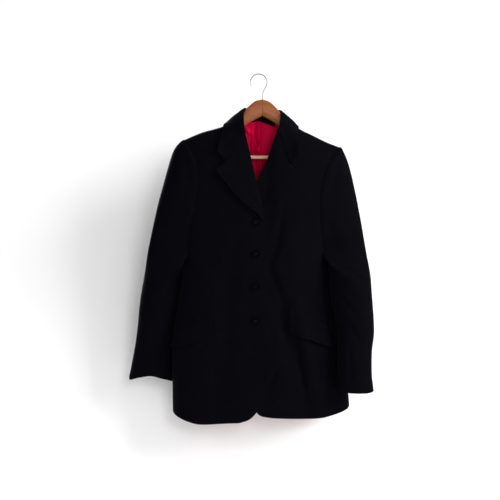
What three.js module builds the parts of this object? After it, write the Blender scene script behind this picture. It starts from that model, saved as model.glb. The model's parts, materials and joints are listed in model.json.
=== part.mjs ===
// A women's riding jacket hanging on a wooden hanger, in millimetres, +Z up.
// The coat's front faces -Y. The origin is the inner top of the hook, where a rail carries it.
// Each sewn piece is a closed wall of cloth made from one shell: the torso as it hangs,
// flat and arched over the hanger's arms, and a sleeve section that grows from the armhole.
import * as THREE from "three";

// ---- Driving dimensions
const cloth = 2; // wall of the wool
const satin = 1.2; // wall of the lining and the label
const seam = 0.3; // gap between two sewn pieces
const rest = 0.3; // gap between a piece and what it lies on
const armholeGap = 0.7; // the sleeve starts this far outside the panels' armhole edge
const stemOffset = 9.5; // the hanger's middle joint stands this far to +X of the rail point
const squareness = 2.4; // exponent of the torso's section, 2 is an ellipse
const archHeight = 90; // the cloth arches over the hanger within this height of the shoulder line
const skew = 0.06; // the coat hangs turned a little: its middle plane is y = skew * x
const hookRadius = 21.6; // centre line of the hook's bow
const wireRadius = 1.6;
const barRadius = 4.5;
const barHeight = -215;
const armThickness = 12.5;
const buttonRadius = 9.5;
const collarClear = 3.2; // the fall's middle stays this far off the shell
const collarStand = 3.5; // and its edge stands off this much more
const notchAlong = 0.72; // the lapel's notch lies this far out along the collar's end

// ---- Tables. x is measured from the hanger's middle joint, outwards on each side.
// Torso sections: half widths to the left (-X) and right, depth to the front and the back.
const torso = [
  { z: -930, left: 231, right: 226, front: 60, back: 54 },
  { z: -860, left: 231, right: 226, front: 60, back: 54 },
  { z: -790, left: 231, right: 219, front: 60, back: 54 },
  { z: -700, left: 232, right: 207, front: 60, back: 53 },
  { z: -640, left: 225, right: 196, front: 58, back: 51 },
  { z: -570, left: 214, right: 183, front: 55, back: 47 },
  { z: -500, left: 203, right: 173, front: 54, back: 45 },
  { z: -450, left: 204, right: 172, front: 54, back: 45 },
  { z: -390, left: 216, right: 188, front: 54, back: 44 },
  { z: -320, left: 228, right: 210, front: 54, back: 43 },
  { z: -230, left: 243, right: 236, front: 48, back: 40 },
  { z: -80, left: 252, right: 248, front: 42, back: 38 },
];
// Height of the shoulder line over the hanger, from the neck outwards.
const shoulderLine = {
  left: [
    { x: 0, z: -84 },
    { x: 40, z: -98 },
    { x: 72, z: -119 },
    { x: 100, z: -136 },
    { x: 158, z: -153.6 },
    { x: 206, z: -175 },
    { x: 240, z: -196 },
  ],
  right: [
    { x: 0, z: -84 },
    { x: 40, z: -101 },
    { x: 72, z: -124 },
    { x: 100, z: -143.5 },
    { x: 127, z: -156.5 },
    { x: 170, z: -177 },
    { x: 203, z: -190 },
    { x: 240, z: -212 },
  ],
};
// Hem height by the turn round the body: -90 centre front, 0 side, 90 centre back.
const hemLine = {
  left: [
    { turn: -90, z: -894 },
    { turn: -75, z: -896 },
    { turn: -50, z: -900 },
    { turn: -35, z: -892 },
    { turn: -19, z: -881 },
    { turn: 0, z: -870 },
    { turn: 40, z: -878 },
    { turn: 90, z: -886 },
  ],
  right: [
    { turn: -90, z: -880 },
    { turn: -86, z: -884 },
    { turn: -66, z: -887 },
    { turn: -51, z: -885.5 },
    { turn: -34, z: -877 },
    { turn: -18, z: -869 },
    { turn: 0, z: -861 },
    { turn: 40, z: -870 },
    { turn: 90, z: -883 },
  ],
};
// The fronts' inner edges: hem corner, front edge, break, roll line, gorge and neck seam.
const frontEdge = {
  left: [
    { z: -895.6, x: 58 },
    { z: -889, x: 38 },
    { z: -880, x: 25 },
    { z: -868, x: 15 },
    { z: -852, x: 7 },
    { z: -822, x: 1 },
    { z: -765, x: -3 },
    { z: -693, x: -4.5 },
    { z: -618, x: -6 },
    { z: -547, x: -4.5 },
    { z: -474, x: -1.5 },
    { z: -385, x: -1 },
    { z: -329, x: 3 },
    { z: -291, x: 14.5 },
    { z: -219, x: 32 },
    { z: -165, x: 45 },
    { z: -148, x: 54 },
    { z: -132, x: 64 },
    { z: -119, x: 72 },
  ],
  right: [
    { z: -884.4, x: 24 },
    { z: -880, x: -2 },
    { z: -870, x: -15 },
    { z: -857, x: -26 },
    { z: -838, x: -33 },
    { z: -808, x: -37 },
    { z: -765, x: -38 },
    { z: -550, x: -38 },
    { z: -345, x: -38 },
    { z: -290, x: -15.7 },
    { z: -257, x: -1.5 },
    { z: -219, x: 16.4 },
    { z: -175, x: 32 },
    { z: -158, x: 39 },
    { z: -145, x: 50 },
    { z: -134, x: 62 },
    { z: -124, x: 72 },
  ],
};
// The side-body seam from the hem to the armhole, then the armhole up to the shoulder.
const sideSeam = {
  left: [
    { z: -930, x: 132 },
    { z: -700, x: 131 },
    { z: -591, x: 129 },
    { z: -531, x: 146 },
    { z: -480, x: 176 },
    { z: -448, x: 194 },
    { z: -430, x: 193 },
    { z: -386, x: 184 },
    { z: -323, x: 171 },
    { z: -270, x: 167 },
    { z: -226, x: 172 },
    { z: -200, x: 184 },
    { z: -173.5, x: 200 },
  ],
  right: [
    { z: -930, x: 122 },
    { z: -700, x: 118 },
    { z: -591, x: 114 },
    { z: -531, x: 125 },
    { z: -480, x: 148 },
    { z: -454, x: 158 },
    { z: -396, x: 150 },
    { z: -323, x: 148 },
    { z: -265, x: 157 },
    { z: -216, x: 179 },
    { z: -189, x: 200 },
  ],
};
const neckBack = [
  { x: 0, z: -111.5 },
  { x: 30, z: -112.5 },
  { x: 55, z: -115.5 },
  { x: 72, z: -121.5 },
];
// Sleeves: x of the outer and inner edges, the middle's y and the depth towards front and back.
const sleeves = {
  left: [
    { z: -830, outer: 352, inner: 228, y: 26, deep: 26 },
    { z: -786, outer: 347, inner: 228, y: 25, deep: 28 },
    { z: -767, outer: 343, inner: 229, y: 25, deep: 29 },
    { z: -716, outer: 333, inner: 229, y: 25, deep: 31 },
    { z: -683, outer: 328, inner: 226, y: 24, deep: 32 },
    { z: -638, outer: 323, inner: 220, y: 22, deep: 34 },
    { z: -590, outer: 318, inner: 213, y: 20, deep: 35 },
    { z: -534, outer: 309, inner: 207, y: 17, deep: 36 },
    { z: -490, outer: 301, inner: 206.5, y: 12, deep: 37 },
    { z: -448, outer: 293, inner: 208, y: 2, deep: 38 },
  ],
  right: [
    { z: -850, outer: 284, inner: 191, y: -46, deep: 23 },
    { z: -814, outer: 283, inner: 190, y: -46, deep: 24 },
    { z: -776, outer: 279, inner: 191, y: -45, deep: 25 },
    { z: -716, outer: 279, inner: 193, y: -42, deep: 27 },
    { z: -672, outer: 285, inner: 193, y: -38, deep: 29 },
    { z: -638, outer: 285, inner: 189, y: -35, deep: 31 },
    { z: -564, outer: 280, inner: 179, y: -28, deep: 34 },
    { z: -508, outer: 277, inner: 176.5, y: -20, deep: 36 },
    { z: -454, outer: 269, inner: 176, y: -6, deep: 38 },
  ],
};
// Outline of the sleeve heads above the armhole's notch.
const sleeveHead = {
  left: [
    { z: -448, x: 293 },
    { z: -410, x: 285 },
    { z: -338, x: 269 },
    { z: -283, x: 254 },
    { z: -227, x: 238 },
    { z: -203, x: 230 },
    { z: -190, x: 223 },
    { z: -181, x: 215 },
    { z: -175.5, x: 207 },
    { z: -173.5, x: 204 },
  ],
  right: [
    { z: -454, x: 269 },
    { z: -338, x: 248 },
    { z: -277, x: 235 },
    { z: -232, x: 223.5 },
    { z: -208, x: 215 },
    { z: -196, x: 209 },
    { z: -191, x: 205.5 },
    { z: -189, x: 204 },
  ],
};
// Cuff height by the turn round the sleeve: 0 outer edge, 90 front, 180 inner edge, 270 back.
const cuffLine = {
  left: [
    { turn: -90, z: -776 },
    { turn: 0, z: -788 },
    { turn: 20, z: -794 },
    { turn: 62, z: -786 },
    { turn: 90, z: -782 },
    { turn: 120, z: -790 },
    { turn: 180, z: -799 },
    { turn: 270, z: -776 },
  ],
  right: [
    { turn: -90, z: -812 },
    { turn: 0, z: -814 },
    { turn: 30, z: -818 },
    { turn: 60, z: -820 },
    { turn: 120, z: -818 },
    { turn: 180, z: -812 },
    { turn: 270, z: -812 },
  ],
};
// Lapels, from the break up to the gorge: the roll line and the outer edge.
const lapels = {
  left: [
    { rollX: 0.5, rollZ: -377, edgeX: 1, edgeZ: -383 },
    { rollX: -1, rollZ: -350, edgeX: -10.5, edgeZ: -366 },
    { rollX: -8.5, rollZ: -315, edgeX: -39, edgeZ: -344 },
    { rollX: -17, rollZ: -281, edgeX: -69, edgeZ: -316 },
    { rollX: -26.5, rollZ: -243, edgeX: -99, edgeZ: -280 },
    { rollX: -33, rollZ: -215, edgeX: -117, edgeZ: -254 },
    { rollX: -39.5, rollZ: -188, edgeX: -104, edgeZ: -243 },
    { rollX: -45.5, rollZ: -166, edgeX: -92, edgeZ: -231 },
  ],
  right: [
    { rollX: -37, rollZ: -344, edgeX: -36.5, edgeZ: -350 },
    { rollX: -28, rollZ: -318, edgeX: -17, edgeZ: -347 },
    { rollX: -19, rollZ: -298, edgeX: 5, edgeZ: -341.6 },
    { rollX: -7.5, rollZ: -271, edgeX: 33, edgeZ: -324 },
    { rollX: 3.5, rollZ: -247, edgeX: 60, edgeZ: -297.5 },
    { rollX: 16.4, rollZ: -219, edgeX: 86.7, edgeZ: -268 },
    { rollX: 28, rollZ: -187, edgeX: 79.5, edgeZ: -252.5 },
    { rollX: 38.5, rollZ: -161, edgeX: 72.3, edgeZ: -238 },
  ],
};
// Pocket flaps on the fronts, from the front end to the rear: top and bottom edges.
const flaps = {
  left: [
    { topX: -128, topZ: -613, lowX: -127, lowZ: -667 },
    { topX: -150, topZ: -621, lowX: -146, lowZ: -679 },
    { topX: -184, topZ: -634, lowX: -190, lowZ: -698 },
    { topX: -208, topZ: -644, lowX: -229, lowZ: -705 },
  ],
  right: [
    { topX: 69, topZ: -605, lowX: 70, lowZ: -665 },
    { topX: 90, topZ: -613, lowX: 84, lowZ: -674 },
    { topX: 128, topZ: -629, lowX: 124, lowZ: -688 },
    { topX: 160, topZ: -642, lowX: 177, lowZ: -707 },
  ],
};
// Large folds of the fronts: x down the fold, and how far it goes in (+) or stands out (-).
const folds = [
  {
    width: 17, // valley from the chest past the pocket to the hem
    line: [
      { z: -860, x: 112, deep: 3 },
      { z: -805, x: 100, deep: 7 },
      { z: -754, x: 90, deep: 9 },
      { z: -685, x: 74, deep: 10 },
      { z: -640, x: 54, deep: 11 },
      { z: -540, x: 50, deep: 7 },
      { z: -474, x: 34, deep: 6 },
      { z: -405, x: 50, deep: 5 },
      { z: -340, x: 52, deep: 0 },
    ],
  },
  {
    width: 12, // drag line from the front edge to the pocket
    line: [
      { z: -650, x: 54, deep: 0 },
      { z: -620, x: 46, deep: 5 },
      { z: -555, x: 28, deep: 5 },
      { z: -505, x: 12, deep: 0 },
    ],
  },
  {
    width: 16, // soft ridge beside the valley
    line: [
      { z: -880, x: 150, deep: -2 },
      { z: -760, x: 128, deep: -5 },
      { z: -640, x: 96, deep: -5 },
      { z: -520, x: 84, deep: -2 },
      { z: -440, x: 80, deep: 0 },
    ],
  },
  {
    width: 30, // shallow hollow down the lapping front
    line: [
      { z: -890, x: -120, deep: 3 },
      { z: -760, x: -100, deep: 5 },
      { z: -600, x: -84, deep: 4 },
      { z: -440, x: -80, deep: 0 },
    ],
  },
];
// Folds of the back below the waist.
const backFolds = [
  {
    width: 26,
    line: [
      { z: -885, x: -110, deep: -7 },
      { z: -700, x: -95, deep: -4 },
      { z: -520, x: -85, deep: 0 },
    ],
  },
  {
    width: 26,
    line: [
      { z: -885, x: 105, deep: -7 },
      { z: -690, x: 90, deep: -5 },
      { z: -520, x: 80, deep: 0 },
    ],
  },
];
// Hanger arm, from the middle joint outwards: the crown's top edge, and the bottom edge.
// Past the neck the top edge follows the shoulder line just under the cloth.
const hangerArm = {
  left: [
    { x: 0, top: -64.4, low: -107.5 },
    { x: 20, top: -70, low: -118 },
    { x: 41, top: -88.5, low: -130 },
    { x: 56, top: -109, low: -142 },
    { x: 72, top: -124, low: -153 },
    { x: 100, top: -130, low: -165 },
    { x: 158, top: -130, low: -183 },
    { x: 192, top: -130, low: -196 },
  ],
  right: [
    { x: 0, top: -64.4, low: -107.5 },
    { x: 20, top: -71.5, low: -118 },
    { x: 41, top: -91.5, low: -132 },
    { x: 56, top: -112, low: -145 },
    { x: 72, top: -130, low: -157 },
    { x: 100, top: -138, low: -171 },
    { x: 127, top: -138, low: -183 },
    { x: 170, top: -138, low: -202 },
    { x: 190, top: -138, low: -208 },
  ],
};
const barSocket = { left: 160, right: 158, drop: 226, reach: 24 };
// Collar stations from the viewer's left gorge round the neck to the right one:
// neck seam, roll and outer edge of the fall.
const collarStations = [
  { neckX: -43, neckY: -32, neckZ: -157, rollX: -46, rollY: -51, rollZ: -159, edgeX: -114.5, edgeY: -60, edgeZ: -207 },
  { neckX: -57, neckY: -28, neckZ: -136, rollX: -48, rollY: -41, rollZ: -134, edgeX: -112, edgeY: -54, edgeZ: -186 },
  { neckX: -65, neckY: -13, neckZ: -121, rollX: -49, rollY: -20, rollZ: -107, edgeX: -104, edgeY: -36, edgeZ: -154 },
  { neckX: -69, neckY: 0, neckZ: -113, rollX: -47, rollY: 2, rollZ: -88.5, edgeX: -97, edgeY: -4, edgeZ: -129 },
  { neckX: -62, neckY: 15, neckZ: -111, rollX: -43, rollY: 18, rollZ: -85, edgeX: -91, edgeY: 32, edgeZ: -137 },
  { neckX: -40, neckY: 23, neckZ: -110, rollX: -29, rollY: 30, rollZ: -84, edgeX: -56, edgeY: 44, edgeZ: -139 },
  { neckX: 0, neckY: 27, neckZ: -109, rollX: 0, rollY: 34, rollZ: -84, edgeX: 0, edgeY: 48, edgeZ: -139 },
  { neckX: 40, neckY: 26, neckZ: -111, rollX: 30, rollY: 32, rollZ: -86, edgeX: 56, edgeY: 48, edgeZ: -142 },
  { neckX: 62, neckY: 21, neckZ: -114, rollX: 45, rollY: 22, rollZ: -90, edgeX: 91, edgeY: 40, edgeZ: -142 },
  { neckX: 69, neckY: 4, neckZ: -118, rollX: 49, rollY: 6, rollZ: -94.5, edgeX: 94, edgeY: 5, edgeZ: -134.5 },
  { neckX: 65, neckY: -7, neckZ: -126, rollX: 48, rollY: -21, rollZ: -116, edgeX: 93, edgeY: -34, edgeZ: -158 },
  { neckX: 51, neckY: -24, neckZ: -140, rollX: 44, rollY: -38, rollZ: -138, edgeX: 92, edgeY: -50, edgeZ: -190 },
  { neckX: 36, neckY: -28, neckZ: -152, rollX: 39, rollY: -45.5, rollZ: -154, edgeX: 90, edgeY: -56, edgeZ: -221 },
];
const notch = { left: { x: -92, z: -228 }, right: { x: 72.3, z: -234.5 } };
const buttonHeights = [-385, -466, -548, -636];
const buttonX = -16;

// ---- Numbers of rows and columns in the walls
const rowsHem = 17; // hem to armhole notch
const rowsArmhole = 10; // notch to shoulder tip
const columns = { front: 12, side: 8, back: 11, topSleeve: 15, underSleeve: 8 };

// ---- Curves through the tables
// Value of one column at a place along a table: cubic pieces with the neighbours' mean slope.
function sample(table, by, at, column) {
  const last = table.length - 1;
  const up = table[last][by] > table[0][by];
  const t = (row) => (up ? row[by] : -row[by]);
  const place = Math.min(Math.max(up ? at : -at, t(table[0])), t(table[last]));
  let i = 0;
  while (i < last - 1 && place > t(table[i + 1])) i += 1;
  const slope = (k) => {
    const a = table[Math.max(k - 1, 0)];
    const b = table[Math.min(k + 1, last)];
    return (b[column] - a[column]) / (t(b) - t(a));
  };
  const span = t(table[i + 1]) - t(table[i]);
  const s = (place - t(table[i])) / span;
  const from = table[i][column];
  const to = table[i + 1][column];
  const bend = s * s * (3 - 2 * s);
  const easeIn = s * (1 - s) * (1 - s) * span * slope(i);
  const easeOut = s * s * (s - 1) * span * slope(i + 1);
  return from + (to - from) * bend + easeIn + easeOut;
}
const lerp = THREE.MathUtils.lerp;
const ramp = (at, from, to) => {
  const t = Math.min(Math.max((at - from) / (to - from), 0), 1);
  return t * t * (3 - 2 * t);
};
const signOf = { left: -1, right: 1 };
const sideAt = (x) => (x < 0 ? "left" : "right");
const degrees = (a) => (a * 180) / Math.PI;
const radians = (a) => (a * Math.PI) / 180;

// ---- The torso's shell
const shoulderHeight = (x) => sample(shoulderLine[sideAt(x)], "x", Math.abs(x), "z");
const halfWidth = (side, z) => sample(torso, "z", z, side);
const depth = (face, z) => sample(torso, "z", z, face < 0 ? "front" : "back");

function foldDepth(list, x, z) {
  let sum = 0;
  for (const fold of list) {
    const line = fold.line;
    const low = line[0].z;
    const high = line[line.length - 1].z;
    const fade = ramp(z, low - 40, low) * (1 - ramp(z, high, high + 10));
    const away = (x - sample(line, "z", z, "x")) / fold.width;
    sum += fade * sample(line, "z", z, "deep") * Math.exp(-away * away);
  }
  return sum;
}

// How far a point lies down the arch: 0 on the shoulder line, 1 where the cloth hangs straight.
function dropOf(x, z) {
  const h = Math.max((shoulderHeight(x) - z) / archHeight, 0);
  return h < 1 ? Math.acos(1 - h) / (Math.PI / 2) : 1 + (h - 1) / (Math.PI / 2);
}

// Point of the torso: y = skew x -+ depth (1 - (x / w)^n)^(1/n) sin(arch), plus the folds.
function torsoPoint(face, x, drop) {
  const arch = (Math.min(drop, 1) * Math.PI) / 2;
  const h = drop < 1 ? 1 - Math.cos(arch) : 1 + ((drop - 1) * Math.PI) / 2;
  const z = shoulderHeight(x) - archHeight * h;
  const across = Math.min(Math.abs(x) / halfWidth(sideAt(x), z), 1);
  const round = Math.pow(1 - Math.pow(across, squareness), 1 / squareness);
  const fold = face < 0 ? foldDepth(folds, x, z) : -foldDepth(backFolds, x, z);
  const y = skew * x + face * depth(face, z) * round * Math.sin(arch) + fold * Math.sin(arch);
  return new THREE.Vector3(x, y, z);
}
const onTorso = (face, x, z) => torsoPoint(face, x, dropOf(x, z));

// The same section by its turn round the body, for the side bodies.
function sidePoint(side, turn, z) {
  const cos = Math.max(Math.cos(radians(turn)), 0);
  const sin = Math.sin(radians(turn));
  const x = signOf[side] * halfWidth(side, z) * Math.pow(cos, 2 / squareness);
  const face = turn < 0 ? -1 : 1;
  const round = Math.pow(Math.abs(sin), 2 / squareness);
  const fold = face < 0 ? foldDepth(folds, x, z) : -foldDepth(backFolds, x, z);
  return new THREE.Vector3(x, skew * x + face * depth(face, z) * round + fold, z);
}
function turnAt(side, x, z) {
  const across = Math.min(Math.abs(x) / halfWidth(side, z), 1);
  return degrees(Math.acos(Math.pow(across, squareness / 2)));
}

// ---- Walls
// Unit normal of a surface at (a, b), by small steps along both.
function normalAt(surface, a, b, stepA, stepB) {
  const across = surface(a + stepA, b).sub(surface(a - stepA, b));
  const along = surface(a, b + stepB).sub(surface(a, b - stepB));
  return across.cross(along).normalize();
}

// A closed wall between two grids of points, the outer and the inner side of the cloth.
function wall(name, outer, inner, material) {
  const rows = outer.length;
  const cols = outer[0].length;
  const positions = [];
  for (const grid of [outer, inner]) {
    for (const row of grid) for (const p of row) positions.push(p.x, p.y, p.z);
  }
  const at = (layer, r, c) => layer * rows * cols + r * cols + c;
  const index = [];
  const quad = (a, b, c, d) => index.push(a, b, c, a, c, d);
  for (let r = 0; r < rows - 1; r += 1) {
    for (let c = 0; c < cols - 1; c += 1) {
      quad(at(0, r, c), at(0, r, c + 1), at(0, r + 1, c + 1), at(0, r + 1, c));
      quad(at(1, r, c), at(1, r + 1, c), at(1, r + 1, c + 1), at(1, r, c + 1));
    }
  }
  for (let c = 0; c < cols - 1; c += 1) {
    quad(at(0, 0, c + 1), at(0, 0, c), at(1, 0, c), at(1, 0, c + 1));
    const top = rows - 1;
    quad(at(0, top, c), at(0, top, c + 1), at(1, top, c + 1), at(1, top, c));
  }
  for (let r = 0; r < rows - 1; r += 1) {
    quad(at(0, r, 0), at(0, r + 1, 0), at(1, r + 1, 0), at(1, r, 0));
    const end = cols - 1;
    quad(at(0, r + 1, end), at(0, r, end), at(1, r, end), at(1, r + 1, end));
  }
  return solid(name, positions, index, material);
}

// A mesh from points and triangles, turned so that its faces point out.
function solid(name, positions, index, material) {
  const point = (i) => new THREE.Vector3().fromArray(positions, i * 3);
  let volume = 0;
  for (let i = 0; i < index.length; i += 3) {
    volume += point(index[i]).dot(point(index[i + 1]).cross(point(index[i + 2])));
  }
  if (volume < 0) {
    for (let i = 0; i < index.length; i += 3) {
      [index[i + 1], index[i + 2]] = [index[i + 2], index[i + 1]];
    }
  }
  const geometry = new THREE.BufferGeometry();
  geometry.setAttribute("position", new THREE.Float32BufferAttribute(positions, 3));
  geometry.setIndex(index);
  geometry.computeVertexNormals();
  const mesh = new THREE.Mesh(geometry, material);
  mesh.name = name;
  return mesh;
}

// A wall of cloth on a surface: places is a grid of [a, b], lift moves it along the normal.
function clothOn(name, surface, places, material, options = {}) {
  const { thick = cloth, lift = () => 0, stepA = 0.5, stepB = 0.01, outward = 1 } = options;
  const shift = (way) =>
    places.map((row, r) =>
      row.map(([a, b], c) => {
        const n = normalAt(surface, a, b, stepA, stepB).multiplyScalar(outward);
        const away = lift(r / (places.length - 1), c / (row.length - 1), a, b);
        return surface(a, b).addScaledVector(n, away + (way * thick) / 2);
      }),
    );
  return wall(name, shift(1), shift(-1), material);
}

// ---- Materials
const wool = new THREE.MeshStandardMaterial({ color: 0x0b0b0e, roughness: 0.92 });
const crimson = new THREE.MeshStandardMaterial({ color: 0xa3002c, roughness: 0.4 });
const labelCloth = new THREE.MeshStandardMaterial({ color: 0x09090b, roughness: 0.7 });
const horn = new THREE.MeshStandardMaterial({ color: 0x0a0a0b, roughness: 0.3 });
const beech = new THREE.MeshStandardMaterial({ color: 0x9a4f22, roughness: 0.38 });
const pine = new THREE.MeshStandardMaterial({ color: 0xd9b98a, roughness: 0.5 });
const steel = new THREE.MeshStandardMaterial({ color: 0x8e9093, roughness: 0.35, metalness: 1 });

// ---- Rows: heights shared by the pieces that meet along the side seam and the armhole
const notchHeight = { left: -448, right: -454 };
const tipHeight = { left: -174.5, right: -190 };

function seamRows(side, turn) {
  const hem = sample(hemLine[side], "turn", turn, "z");
  const rows = [];
  for (let k = 0; k < rowsHem; k += 1) {
    const t = k / (rowsHem - 1);
    rows.push(lerp(hem, notchHeight[side], Math.pow(t, 1.45)));
  }
  return rows;
}
function armholeRows(side) {
  const rows = [];
  for (let k = 1; k < rowsArmhole; k += 1) {
    const t = 1 - k / (rowsArmhole - 1);
    rows.push(lerp(tipHeight[side], notchHeight[side], Math.pow(t, 2.2)));
  }
  return rows;
}
const seamX = (side, z) => sample(sideSeam[side], "z", z, "x");

// Outer boundary of a front or back: the side seam, then the armhole.
function outerBoundary(side, face) {
  const hemTurn = face * turnAt(side, seamX(side, -890), -890);
  const heights = [...seamRows(side, hemTurn), ...armholeRows(side)];
  return heights.map((z) => ({ x: seamX(side, z) - seam / 2, z }));
}

// ---- Fronts
// The under front lies behind the lapping one, deeper where its lapel comes between.
function underlap(x, z) {
  return (1 - ramp(x, 5, 45)) * (2.8 + 3.4 * ramp(z, -410, -350));
}

function frontSurface(side) {
  return (x, drop) => {
    const p = torsoPoint(-1, x, drop);
    if (side === "right") p.y += underlap(p.x, p.z);
    return p;
  };
}

function panelPlaces(side, face, innerAt, hemAt, topAt, cols) {
  const outer = outerBoundary(side, face);
  const last = outer.length - 1;
  const sign = signOf[side];
  const places = [];
  for (let k = 0; k <= last; k += 1) {
    const inner = innerAt(k, outer);
    const row = [];
    for (let j = 0; j < cols; j += 1) {
      const u = j / (cols - 1);
      const x = sign * lerp(inner.x, outer[k].x, u);
      const straight = lerp(inner.z, outer[k].z, u);
      const first = innerAt(0, outer);
      const top = innerAt(last, outer);
      const nearHem = Math.pow(1 - ramp(k, 0, rowsHem - 5), 2);
      const nearTop = ramp(k, last - 9, last);
      const hemX = sign * lerp(first.x, outer[0].x, u);
      const topX = sign * lerp(top.x, outer[last].x, u);
      const hemShift = hemAt(hemX) - lerp(first.z, outer[0].z, u);
      const topShift = topAt(topX) - lerp(top.z, outer[last].z, u);
      const z = straight + nearHem * hemShift + nearTop * topShift;
      row.push([x, Math.max(dropOf(x, z), 0.008)]);
    }
    places.push(row);
  }
  return places;
}

function front(side) {
  const edge = frontEdge[side];
  const hem = edge[0].z;
  const neck = edge[edge.length - 1].z;
  const innerAt = (k, outer) => {
    const last = outer.length - 1;
    const t = (outer[k].z - outer[0].z) / (outer[last].z - outer[0].z);
    const z = lerp(hem, neck, t);
    return { x: sample(edge, "z", z, "x"), z };
  };
  const hemAt = (x) => sample(hemLine[side], "turn", -turnAt(side, x, -890), "z");
  const places = panelPlaces(side, -1, innerAt, hemAt, shoulderHeight, columns.front);
  const name = side === "left" ? "front_right" : "front_left";
  return clothOn(name, frontSurface(side), places, wool, { outward: -1 });
}

// ---- Backs
function back(side) {
  const heights = { hem: sample(hemLine[side], "turn", 90, "z"), neck: neckBack[0].z };
  const innerAt = (k, outer) => {
    const last = outer.length - 1;
    const t = (outer[k].z - outer[0].z) / (outer[last].z - outer[0].z);
    return { x: seam / 2, z: lerp(heights.hem, heights.neck, t) };
  };
  const hemAt = (x) => sample(hemLine[side], "turn", turnAt(side, x, -890), "z");
  const topAt = (x) => {
    if (Math.abs(x) >= 72) return shoulderHeight(x);
    return Math.min(sample(neckBack, "x", Math.abs(x), "z"), shoulderHeight(x));
  };
  const places = panelPlaces(side, 1, innerAt, hemAt, topAt, columns.back);
  const name = side === "left" ? "back_right" : "back_left";
  return clothOn(name, (x, drop) => torsoPoint(1, x, drop), places, wool);
}

// ---- Side bodies, from the front seam round the side to the back seam
function sideBody(side) {
  const frontRows = outerBoundary(side, -1).slice(0, rowsHem);
  const backRows = outerBoundary(side, 1).slice(0, rowsHem);
  const places = [];
  for (let k = 0; k < rowsHem; k += 1) {
    const row = [];
    const up = k / (rowsHem - 1);
    const turnFront = -turnAt(side, frontRows[k].x + seam, frontRows[k].z);
    const turnBack = turnAt(side, backRows[k].x + seam, backRows[k].z);
    for (let j = 0; j < columns.side; j += 1) {
      const u = j / (columns.side - 1);
      const turn = lerp(turnFront, turnBack, u);
      const straight = lerp(frontRows[k].z, backRows[k].z, u);
      const hemShift = sample(hemLine[side], "turn", turn, "z") - lerp(frontRows[0].z, backRows[0].z, u);
      const scoop = 6 + 16 * Math.sin(Math.PI * u);
      row.push([turn, straight + Math.pow(1 - up, 3) * hemShift - Math.pow(up, 4) * scoop]);
    }
    places.push(row);
  }
  const name = side === "left" ? "side_right" : "side_left";
  const surface = (turn, z) => sidePoint(side, turn, z);
  return clothOn(name, surface, places, wool, { stepB: 0.5, outward: signOf[side] });
}

// ---- Sleeves
// Point of the sleeve at a turn (0 outer, 90 front, 180 inner) and a height.
function sleevePoint(side, turn, z) {
  const table = sleeves[side];
  const notchZ = notchHeight[side];
  const sign = signOf[side];
  const high = z > notchZ;
  const outer = high ? sample(sleeveHead[side], "z", z, "x") : sample(table, "z", z, "outer");
  const inner = sample(table, "z", Math.min(z, notchZ), "inner");
  const hole = seamX(side, z) + armholeGap;
  const attach = ramp(z, notchZ - 90, notchZ);
  const middle = lerp((outer + inner) / 2, hole, attach);
  const cos = Math.cos(radians(turn));
  const sin = Math.sin(radians(turn));
  const x = middle + (cos > 0 ? (outer - middle) * cos : (middle - inner) * cos);
  const holeFront = onTorso(-1, sign * hole, Math.min(z, shoulderHeight(sign * hole) - 0.01)).y;
  const holeBack = onTorso(1, sign * hole, Math.min(z, shoulderHeight(sign * hole) - 0.01)).y;
  const freeY = sample(table, "z", Math.min(z, notchZ), "y");
  const freeDeep = sample(table, "z", Math.min(z, notchZ), "deep");
  const outside = (cloth + 2 * rest) * ramp(notchZ - z, 0, 7);
  const frontY = lerp(freeY - freeDeep, holeFront - outside, attach);
  const backY = lerp(freeY + freeDeep, holeBack + outside, attach);
  const swing = (frontY + backY) / 2;
  return new THREE.Vector3(sign * x, swing - ((backY - frontY) / 2) * sin, z);
}
const sleeveSeamTurn = (side, z) => lerp(128, 90, ramp(z, notchHeight[side] - 110, notchHeight[side]));
// Half the gap at the sleeve's seams, as a turn.
function seamTurn(side, turn, z) {
  const wider = 1.6 + 8 * ramp(z, notchHeight[side] - 120, notchHeight[side]);
  const perTurn = sleevePoint(side, turn + 0.5, z).distanceTo(sleevePoint(side, turn - 0.5, z));
  return (wider * seam) / perTurn;
}

function topSleeve(side) {
  const places = [];
  const armhole = armholeRows(side);
  const lowest = notchHeight[side];
  for (let k = 0; k < rowsHem + rowsArmhole - 1; k += 1) {
    const row = [];
    for (let j = 0; j < columns.topSleeve; j += 1) {
      const u = j / (columns.topSleeve - 1);
      const up = Math.min(k / (rowsHem - 1), 1);
      const guess = k < rowsHem ? lerp(-800, lowest, up) : armhole[k - rowsHem];
      const seamAt = sleeveSeamTurn(side, guess);
      const most = k < rowsHem ? seamAt - seamTurn(side, seamAt, guess) : seamAt;
      const turn = lerp(-most, most, u);
      const cuff = sample(cuffLine[side], "turn", turn, "z");
      row.push([turn, k < rowsHem ? lerp(cuff, lowest, up) : armhole[k - rowsHem]]);
    }
    places.push(row);
  }
  const name = side === "left" ? "sleeve_top_right" : "sleeve_top_left";
  return clothOn(name, (turn, z) => sleevePoint(side, turn, z), places, wool, { stepB: 0.2 });
}

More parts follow.
